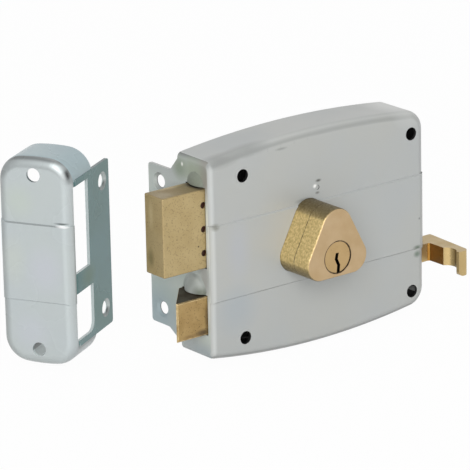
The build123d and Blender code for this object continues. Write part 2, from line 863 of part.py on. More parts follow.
# Pull: a hook in plan, with a thick block, a finger scoop and a lip that hangs lower
grip_x = right + pull_grip_in
block_y = pull_front - pull_block
lip_y = block_y - scoop_length - lip_back
end_y = lip_y - lip_nose
outer_x = pull_end - pull_lean
hook_bottom = latch_lift - pull_height / 2 - lip_drop
with BuildPart() as latch_pull:
    with BuildSketch(Plane.XY.offset(hook_bottom)) as hook:
        with BuildLine():
            Polyline(
                (pull_start, pull_front),
                (grip_x, pull_front),
                (grip_x, block_y),
            )
            ThreePointArc(
                (grip_x, block_y),
                (grip_x + scoop_depth, block_y - scoop_length * scoop_deepest_share),
                (grip_x + lip_in, lip_y),
            )
            Polyline(
                (grip_x + lip_in, lip_y),
                (grip_x + lip_in, end_y),
                (outer_x, end_y),
                (pull_end, pull_back),
                (pull_start, pull_back),
                (pull_start, pull_front),
            )
        make_face()
        nose = hook.vertices().group_by(Axis.Y)[0].sort_by(Axis.X)[-1]
        fillet(nose, pull_nose_round)
        inner = hook.vertices().sort_by_distance((grip_x, pull_front, hook_bottom))[0]
        fillet(inner, pull_inner_round)
    extrude(amount=pull_height + lip_drop)
    with BuildSketch(Plane.XY.offset(latch_lift - pull_height / 2)):
        with Locations(((pull_start + pull_end) / 2, end_y + lip_thickness + (pull_back - end_y) / 2)):
            Rectangle(pull_end - pull_start + overrun, pull_back - end_y)
    extrude(amount=-lip_drop - overrun, mode=Mode.SUBTRACT)
    with BuildSketch(side_plane(pull_start)):
        with Locations((rod_y, latch_lift)):
            Circle(rod_radius + fit_gap)
    extrude(amount=rod_in_pull, mode=Mode.SUBTRACT)
    with BuildSketch(Plane.XY.offset(latch_bottom)):
        with Locations((pull_pin_x, rod_y)):
            Circle(pull_pin_radius + fit_gap)
    extrude(amount=latch_height, mode=Mode.SUBTRACT)
    tab = latch_pull.faces().sort_by(Axis.Z)[0].edges().filter_by(Axis.Y).sort_by(Axis.X)
    fillet(tab[-1], pull_corner)
latch_pull.part.label = "latch_pull"

with BuildPart() as pull_pin:
    with BuildSketch(Plane.XY.offset(latch_lift - pull_height / 2)):
        with Locations((pull_pin_x, rod_y)):
            Circle(pull_pin_radius)
    extrude(amount=pull_height)
pull_pin.part.label = "pull_pin"

# Lever between the key's cam and the latch rod
lever_reach = hypot(latch_travel / 2, lever_z - latch_lift)
lever_swing = atan(latch_travel / 2 / (lever_z - latch_lift))
lever_near = lever_z - latch_lift
slot_run = lever_reach - lever_near
slot_middle = (lever_reach + lever_near) / 2
with BuildPart() as latch_lever:
    with BuildSketch(wall_plane(lever_back)):
        with Locations((lever_x, lever_z)):
            Circle(lever_boss)
        with Locations((lever_pin_x, latch_lift)):
            Circle(lever_arm)
        make_hull()
        with BuildSketch(mode=Mode.PRIVATE) as finger:
            with Locations((lever_x, lever_z)):
                Circle(lever_boss)
            with Locations((lever_finger_x, lever_finger_z)):
                Circle(lever_finger_radius)
            make_hull()
        add(finger.sketch)
        with Locations((lever_x, lever_z)):
            Circle(lever_pivot_radius + lever_pivot_gap, mode=Mode.SUBTRACT)
        slot_x = lever_x - slot_middle * sin(lever_swing)
        slot_z = lever_z - slot_middle * cos(lever_swing)
        with Locations(Location((slot_x, slot_z), 90 - degrees(lever_swing))):
            SlotCenterToCenter(slot_run, 2 * (lever_pin_radius + lever_slot_gap), mode=Mode.SUBTRACT)
    extrude(amount=lever_thickness)
latch_lever.part.label = "latch_lever"

with BuildPart() as lever_pivot:
    with BuildSketch(wall_plane(0)):
        with Locations((lever_x, lever_z)):
            Circle(lever_pivot_radius)
    extrude(amount=lever_front + fit_gap)
    with BuildSketch(wall_plane(plate_front)):
        with Locations((lever_x, lever_z)):
            Circle(pivot_head_radius)
    extrude(amount=-lever_back - plate_thickness - fit_gap)
    with BuildSketch(wall_plane(-lever_front - fit_gap)):
        with Locations((lever_x, lever_z)):
            Circle(pivot_head_radius)
    extrude(amount=pivot_head_thickness)
lever_pivot.part.label = "lever_pivot"

# Strike: a drawn box, open at the back, with a window for each bolt and a flange of its own
turn = strike_turn * pi / 180
strike_right = (cos(turn), sin(turn), 0)
strike_front = (sin(turn), -cos(turn), 0)
strike_depth = case_depth
strike_back = Plane(
    (
        strike_x + strike_depth * -strike_front[0],
        strike_y + strike_depth * -strike_front[1],
        flange_lift,
    ),
    x_dir=strike_right,
    z_dir=strike_front,
)
strike_side = Plane(
    (strike_x + strike_width * cos(turn), strike_y + strike_width * sin(turn), flange_lift),
    x_dir=(-strike_front[0], -strike_front[1], 0),
    z_dir=strike_right,
)


def strike_outline(inset):
    """The strike seen from its front, with crowned ends and large round corners."""
    x_left, x_right = inset, strike_width - inset
    level = strike_height / 2 - strike_sag - inset
    with BuildSketch() as outline:
        with BuildLine():
            Line((x_left, -level), (x_left, level))
            ThreePointArc((x_left, level), (strike_width / 2, level + strike_sag), (x_right, level))
            Line((x_right, level), (x_right, -level))
            ThreePointArc((x_right, -level), (strike_width / 2, -level - strike_sag), (x_left, -level))
        make_face()
        fillet(outline.vertices(), strike_corner - inset)
    return outline.sketch


strike_face = strike_outline(0)
strike_hollow_face = strike_outline(sheet)
with BuildPart() as strike_hollow:
    with BuildSketch(strike_back.offset(-overrun)):
        add(strike_hollow_face)
    extrude(amount=strike_depth - sheet + overrun)
    hollow_front = strike_hollow.faces().sort_by(Axis(strike_back.origin, strike_front))[-1]
    fillet(hollow_front.edges(), strike_round - sheet)

with BuildPart() as strike_band:
    with BuildSketch(strike_back):
        add(strike_face)
    extrude(amount=strike_depth + band_rise)
    band_front = strike_band.faces().sort_by(Axis(strike_back.origin, strike_front))[-1]
    fillet(band_front.edges(), strike_round)
    with BuildSketch(strike_side):
        with BuildLine():
            Polyline(*band_section(0, strike_depth, 0, strike_band_height), close=True)
        make_face()
    extrude(amount=-strike_width, mode=Mode.INTERSECT)

with BuildPart() as strike_box:
    with BuildSketch(strike_back):
        add(strike_face)
    extrude(amount=strike_depth)
    fillet(strike_box.faces().sort_by(Axis(strike_back.origin, strike_front))[-1].edges(), strike_round)
    add(strike_band.part)
    add(strike_hollow.part, mode=Mode.SUBTRACT)
    with BuildSketch(strike_side) as strike_flange:
        with Locations(((strike_round + strike_flange_reach) / 2, 0)):
            Rectangle(strike_flange_reach - strike_round, strike_flange_height)
        fillet(strike_flange.vertices().group_by(Axis.X)[-1], flange_corner)
    extrude(amount=-sheet)
    with BuildSketch(strike_back.offset(strike_depth + overrun)):
        with Locations(*[(strike_width / 2, level * strike_hole_span / 2) for level in (-1, 1)]):
            Circle(strike_bore / 2)
    extrude(amount=-2 * overrun, mode=Mode.SUBTRACT)
    window_front = bolt_front_gap - window_lead
    bolt_window_depth = bolt_front_gap + bolt_thickness + bolt_window_spare
    latch_window_depth = bolt_front_gap + latch_thickness - latch_window_lack
    window_x = (window_front + bolt_window_depth) / 2
    latch_window_x = (window_front + latch_window_depth) / 2
    with BuildSketch(strike_side.offset(overrun)) as windows:
        with Locations((window_x, bolt_middle - flange_lift)):
            Rectangle(bolt_window_depth - window_front, bolt_height + 2 * bolt_window_gap)
        with Locations((latch_window_x, latch_lift - flange_lift)):
            Rectangle(latch_window_depth - window_front, latch_height + 2 * latch_window_gap)
        corners = windows.vertices().sort_by(Axis.Y)
        low_back = corners[:2].sort_by(Axis.X)[-1]
        fillet(low_back, latch_window_corner)
    extrude(amount=-2 * overrun, mode=Mode.SUBTRACT)
    for level in (-1, 1):
        spot = strike_side.from_local_coords((strike_hole_out, level * flange_hole_span / 2, 0))
        with Locations(Plane(spot, z_dir=strike_right)):
            CounterSinkHole(flange_bore / 2, flange_sink / 2, overrun, flange_sink_angle)
strike_box.part.label = "strike_box"

pieces = (
    case_shell,
    back_plate,
    case_posts,
    back_screws,
    cylinder_body,
    cylinder_screws,
    cylinder_spacers,
    key_plug,
    plug_clip,
    key_pins,
    driver_pins,
    pin_springs,
    drive_pinion,
    pinion_bush,
    deadbolt_head,
    deadbolt_tail,
    deadbolt_rivets,
    latch_bolt,
    latch_rod,
    lever_pin,
    latch_bracket,
    bracket_rivets,
    latch_spring,
    latch_pull,
    pull_pin,
    latch_lever,
    lever_pivot,
    strike_box,
)
for piece in pieces:
    export_step(piece.part, "parts/" + piece.part.label + ".step")
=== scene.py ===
import json

import bmesh
import bpy
import numpy as np
from mathutils import Matrix, Vector
from mathutils.bvhtree import BVHTree
from mathutils.kdtree import KDTree

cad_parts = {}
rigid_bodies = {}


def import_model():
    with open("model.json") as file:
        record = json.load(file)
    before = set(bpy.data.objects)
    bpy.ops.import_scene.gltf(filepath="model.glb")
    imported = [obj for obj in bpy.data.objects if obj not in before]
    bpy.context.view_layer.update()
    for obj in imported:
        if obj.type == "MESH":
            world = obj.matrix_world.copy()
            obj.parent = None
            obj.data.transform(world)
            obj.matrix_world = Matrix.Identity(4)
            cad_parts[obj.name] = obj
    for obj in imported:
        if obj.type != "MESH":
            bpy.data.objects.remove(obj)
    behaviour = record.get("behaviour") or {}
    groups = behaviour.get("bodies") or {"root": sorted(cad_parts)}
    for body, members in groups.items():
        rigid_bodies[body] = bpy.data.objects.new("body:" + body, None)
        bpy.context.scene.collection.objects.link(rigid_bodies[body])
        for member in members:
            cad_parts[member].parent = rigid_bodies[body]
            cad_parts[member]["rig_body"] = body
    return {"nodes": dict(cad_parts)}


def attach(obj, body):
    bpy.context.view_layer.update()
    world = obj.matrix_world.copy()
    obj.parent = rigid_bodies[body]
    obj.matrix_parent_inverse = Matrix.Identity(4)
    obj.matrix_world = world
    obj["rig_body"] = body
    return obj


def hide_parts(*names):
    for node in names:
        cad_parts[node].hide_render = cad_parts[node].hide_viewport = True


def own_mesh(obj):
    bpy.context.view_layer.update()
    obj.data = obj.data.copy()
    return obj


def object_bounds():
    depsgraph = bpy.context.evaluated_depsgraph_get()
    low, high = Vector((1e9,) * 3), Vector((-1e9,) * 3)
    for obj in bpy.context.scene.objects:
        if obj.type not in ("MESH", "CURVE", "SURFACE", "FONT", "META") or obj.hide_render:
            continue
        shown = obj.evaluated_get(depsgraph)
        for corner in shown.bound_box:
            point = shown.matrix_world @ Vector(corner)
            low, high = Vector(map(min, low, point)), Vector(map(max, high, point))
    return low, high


mm = 0.001

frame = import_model()
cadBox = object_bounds()
print("frame loaded:", len(frame["nodes"]), "nodes")


# Shader nodes in short calls, which the effects and the finishes share

white = (1, 1, 1, 1)
black = (0, 0, 0, 1)
socketKinds = {1: "NodeSocketFloat", 3: "NodeSocketVector", 4: "NodeSocketColor"}


def feed(tree, socket, value):
    # links another socket to this one, or sets its plain value
    if isinstance(value, bpy.types.NodeSocket):
        tree.links.new(value, socket)
    else:
        socket.default_value = value


def maths(tree, operation, *values):
    # one sum on numbers
    node = tree.nodes.new("ShaderNodeMath")
    node.operation = operation
    for socket, value in zip(node.inputs, values):
        feed(tree, socket, value)
    return node.outputs["Value"]


def times(tree, product, *factors):
    # the product of all of them
    for factor in factors:
        product = maths(tree, "MULTIPLY", product, factor)
    return product


def vectorMaths(tree, operation, first, second=None):
    # one sum on vectors or colours; a length comes out as a number
    node = tree.nodes.new("ShaderNodeVectorMath")
    node.operation = operation
    feed(tree, node.inputs[0], first)
    if second is not None:
        feed(tree, node.inputs["Scale" if operation == "SCALE" else 1], second)
    return node.outputs["Value" if operation == "LENGTH" else "Vector"]


def ramp(tree, source, low, high, fromValue=0.0, toValue=1.0, kind="LINEAR"):
    # spreads source from low..high to fromValue..toValue
    node = tree.nodes.new("ShaderNodeMapRange")
    node.interpolation_type = kind
    feed(tree, node.inputs["Value"], source)
    feed(tree, node.inputs["From Min"], low)
    feed(tree, node.inputs["From Max"], high)
    feed(tree, node.inputs["To Min"], fromValue)
    feed(tree, node.inputs["To Max"], toValue)
    return node.outputs["Result"]


def mixColour(tree, mask, under, over):
    # the second colour over the first, as far as the mask is white
    node = tree.nodes.new("ShaderNodeMix")
    node.data_type = "RGBA"
    feed(tree, node.inputs["Factor"], mask)
    feed(tree, node.inputs["A"], under)
    feed(tree, node.inputs["B"], over)
    return node.outputs["Result"]


def objectPlace(tree):
    # where a point lies on the object, in metres
    return tree.nodes.new("ShaderNodeTexCoord").outputs["Object"]


def faceMark(tree, name):
    # a value that a piece carries on its faces or their corners
    node = tree.nodes.new("ShaderNodeAttribute")
    node.attribute_name = name
    return node.outputs["Fac"]


def objectNoise(tree, scale, detail, stretch=(1, 1, 1)):
    # noise on object coordinates, so that it has the same size on every piece
    turn = tree.nodes.new("ShaderNodeMapping")
    feed(tree, turn.inputs["Vector"], objectPlace(tree))
    feed(tree, turn.inputs["Scale"], stretch)
    noise = tree.nodes.new("ShaderNodeTexNoise")
    feed(tree, noise.inputs["Vector"], turn.outputs["Vector"])
    feed(tree, noise.inputs["Scale"], scale)
    feed(tree, noise.inputs["Detail"], detail)
    return noise.outputs["Fac"]


def brokenUp(tree, want):
    # a noise spread to how much of a line or mark is left
    return ramp(tree, objectNoise(tree, want["scale"], want["detail"]), *want["broken"])


def newGroup(name, inputs, outputs):
    # an empty node group; how many numbers a default has says which kind of socket it is
    group = bpy.data.node_groups.new(name, "ShaderNodeTree")
    for side, sockets in (("INPUT", inputs), ("OUTPUT", outputs)):
        for label, value in sockets.items():
            kind = socketKinds[np.size(value)]
            socket = group.interface.new_socket(label, in_out=side, socket_type=kind)
            socket.default_value = value
    given = group.nodes.new("NodeGroupInput")
    out = group.nodes.new("NodeGroupOutput")
    return group, given.outputs, out.inputs


# Effects that several finishes share: node groups, each with its pattern beside it. Scales are
# those of a noise, per metre. A range says where the effect begins and where it is full, and two
# more numbers there say how strong it is at these places

edgeWearAndPaintedLightPattern = {"scale": 400, "detail": 4, "broken": (0.3, 0.65)}


def edgeWearAndPaintedLightGroup(want):
    # the worn edge colour, partly wear and partly painted highlight, where the edge mark and a noise
    # are both high, then the colours of creases and of the inside where those marks are: painted shade
    # in creases and hollows
    group, given, out = newGroup(
        "edgeWearAndPaintedLight",
        {"Colour": white, "Worn Edge And Painted Light": white, "Crease": black, "Inside": black, "Amount": 0.5},
        {"Colour": white},
    )
    mask = times(group, faceMark(group, "edge"), brokenUp(group, want), given["Amount"])
    colour = mixColour(group, mask, given["Colour"], given["Worn Edge And Painted Light"])
    for mark, label in (("crease", "Crease"), ("inside", "Inside")):
        colour = mixColour(group, faceMark(group, mark), colour, given[label])
    feed(group, out["Colour"], colour)
    return group


mottlePattern = {
    "detail": 3, "spread": (0.25, 0.75), "speckScale": 1500, "speckDetail": 2, "speckRim": 0.08,
}


def mottleGroup(want):
    # two colours mixed by a broad, smoothed noise, and specks where a fine noise is above a level
    group, given, out = newGroup(
        "mottle",
        {
            "Colour": white, "Other": white, "Specks": black, "Scale": 60.0, "Amount": 0.5,
            "Speck Amount": 0.3, "Speck From": 0.66,
        },
        {"Colour": white, "Tone": 0.0},
    )
    broad = objectNoise(group, given["Scale"], want["detail"])
    tone = ramp(group, broad, *want["spread"], kind="SMOOTHSTEP")
    colour = mixColour(group, times(group, tone, given["Amount"]), given["Colour"], given["Other"])
    fine = objectNoise(group, want["speckScale"], want["speckDetail"])
    above = maths(group, "SUBTRACT", fine, given["Speck From"])
    specks = times(group, ramp(group, above, 0, want["speckRim"]), given["Speck Amount"])
    feed(group, out["Colour"], mixColour(group, specks, colour, given["Specks"]))
    feed(group, out["Tone"], tone)
    return group


grainPattern = {"detail": 3}


def grainGroup(want):
    # a height for the bump: fine noise, stretched along one way for brushed metal
    group, given, out = newGroup("grain", {"Scale": 1200.0, "Stretch": (1, 1, 1)}, {"Height": 0.0})
    feed(group, out["Height"], objectNoise(group, given["Scale"], want["detail"], given["Stretch"]))
    return group


pitPattern = {"rim": (0.10, 0.05), "kept": (0.6, 0.62)}


def pitsGroup(want):
    # dark spots at the middles of Voronoi cells, kept where a cell's random red is above a level
    group, given, out = newGroup(
        "pits", {"Colour": white, "Pit": black, "Scale": 300.0, "Amount": 0.7}, {"Colour": white},
    )
    cells = group.nodes.new("ShaderNodeTexVoronoi")
    feed(group, cells.inputs["Vector"], objectPlace(group))
    feed(group, cells.inputs["Scale"], given["Scale"])
    parts = group.nodes.new("ShaderNodeSeparateColor")
    feed(group, parts.inputs["Color"], cells.outputs["Color"])
    spot = ramp(group, cells.outputs["Distance"], *want["rim"])
    kept = ramp(group, parts.outputs["Red"], *want["kept"])
    mask = times(group, spot, kept, given["Amount"])
    feed(group, out["Colour"], mixColour(group, mask, given["Colour"], given["Pit"]))
    return group


seamPattern = {"scale": 700, "detail": 2, "broken": (0.35, 0.55, 0.35, 1)}


def seamGroup(want):
    # the parting line of a casting: where y is within a width of one place, broken up
    group, given, out = newGroup(
        "seam", {"Colour": white, "Line": black, "At": 0.0, "Width": 0.2 * mm}, {"Colour": white},
    )
    parts = group.nodes.new("ShaderNodeSeparateXYZ")
    feed(group, parts.inputs["Vector"], objectPlace(group))
    line = maths(group, "COMPARE", parts.outputs["Y"], given["At"], given["Width"])
    mask = times(group, line, brokenUp(group, want))
    feed(group, out["Colour"], mixColour(group, mask, given["Colour"], given["Line"]))
    return group


smudgeAndPaintedLightPattern = {"rim": (1.0, 0.25), "scale": 900, "detail": 2, "broken": (0.25, 0.55, 0.88, 1)}


def smudgeAndPaintedLightGroup(want):
    # one soft mark, a stain or spot on some finishes and painted shade, highlight or reflection on
    # many others: full near its place, gone at one size from it, and a little broken up
    group, given, out = newGroup(
        "smudgeAndPaintedLight",
        {"Colour": white, "Mark": black, "Place": (0, 0, 0), "Size": (mm, mm, mm), "Amount": 0.5},
        {"Colour": white},
    )
    away = vectorMaths(group, "SUBTRACT", objectPlace(group), given["Place"])
    reach = vectorMaths(group, "LENGTH", vectorMaths(group, "DIVIDE", away, given["Size"]))
    mask = times(group, ramp(group, reach, *want["rim"]), brokenUp(group, want), given["Amount"])
    feed(group, out["Colour"], mixColour(group, mask, given["Colour"], given["Mark"]))
    return group


ringPattern = {"scale": 500, "detail": 2, "broken": (0.3, 0.6, 0.55, 1), "across": (1, 0, 1)}


def ringLineGroup(want):
    # painted shade in the groove round a plug: where the distance from an axis along y is one
    # radius, broken up
    group, given, out = newGroup(
        "ringLine",
        {"Colour": white, "Line": black, "Centre": (0, 0, 0), "Radius": 8 * mm, "Width": 0.3 * mm},
        {"Colour": white},
    )
    away = vectorMaths(group, "SUBTRACT", objectPlace(group), given["Centre"])
    reach = vectorMaths(group, "LENGTH", vectorMaths(group, "MULTIPLY", away, want["across"]))
    line = maths(group, "COMPARE", reach, given["Radius"], given["Width"])
    mask = times(group, line, brokenUp(group, want))
    feed(group, out["Colour"], mixColour(group, mask, given["Colour"], given["Line"]))
    return group


effects = {
    "edgeWearAndPaintedLight": edgeWearAndPaintedLightGroup(edgeWearAndPaintedLightPattern), "mottle": mottleGroup(mottlePattern),
    "grain": grainGroup(grainPattern), "pits": pitsGroup(pitPattern), "seam": seamGroup(seamPattern),
    "smudgeAndPaintedLight": smudgeAndPaintedLightGroup(smudgeAndPaintedLightPattern), "ringLine": ringLineGroup(ringPattern),
}
print("effects made:", len(effects))


# Finishes: colours are linear, lengths in millimetres, and the scales of noises per metre. tilt,
# lean and rise paint light and shade into a face's colour, by the way it looks and its height, in
# pairs of place and brightness: tilt from down (0) to up (1), lean from one side (0) to the other
# (1), rise from the piece's foot (0) to its top (1). marks are soft patches, each with its middle
# and its reach: some are stains and spots, many are painted shade, highlights and reflections. pits
# are pairs of scale and amount

plain = {  # what a finish has where it says nothing else
    "mottleScale": 60, "mottle": 0.6, "speckAmount": 0.3, "speckFrom": 0.66, "edge": 0.8,
    "metallic": 0.0, "rough": 0.4, "roughSpread": 0.08, "bump": 0.01, "grainScale": 1000,
    "stretch": (1, 1, 1), "pits": [], "marks": [], "glint": False,
    # creaseDarker paints shade into creases
    "creaseDarker": 3,  # a crease without a colour of its own is this many times darker
}
# the groove round the plug, a dark line of painted shade
plugGroove = {"centre": (0, 0, 0), "radius": 8.1, "wide": 0.35}

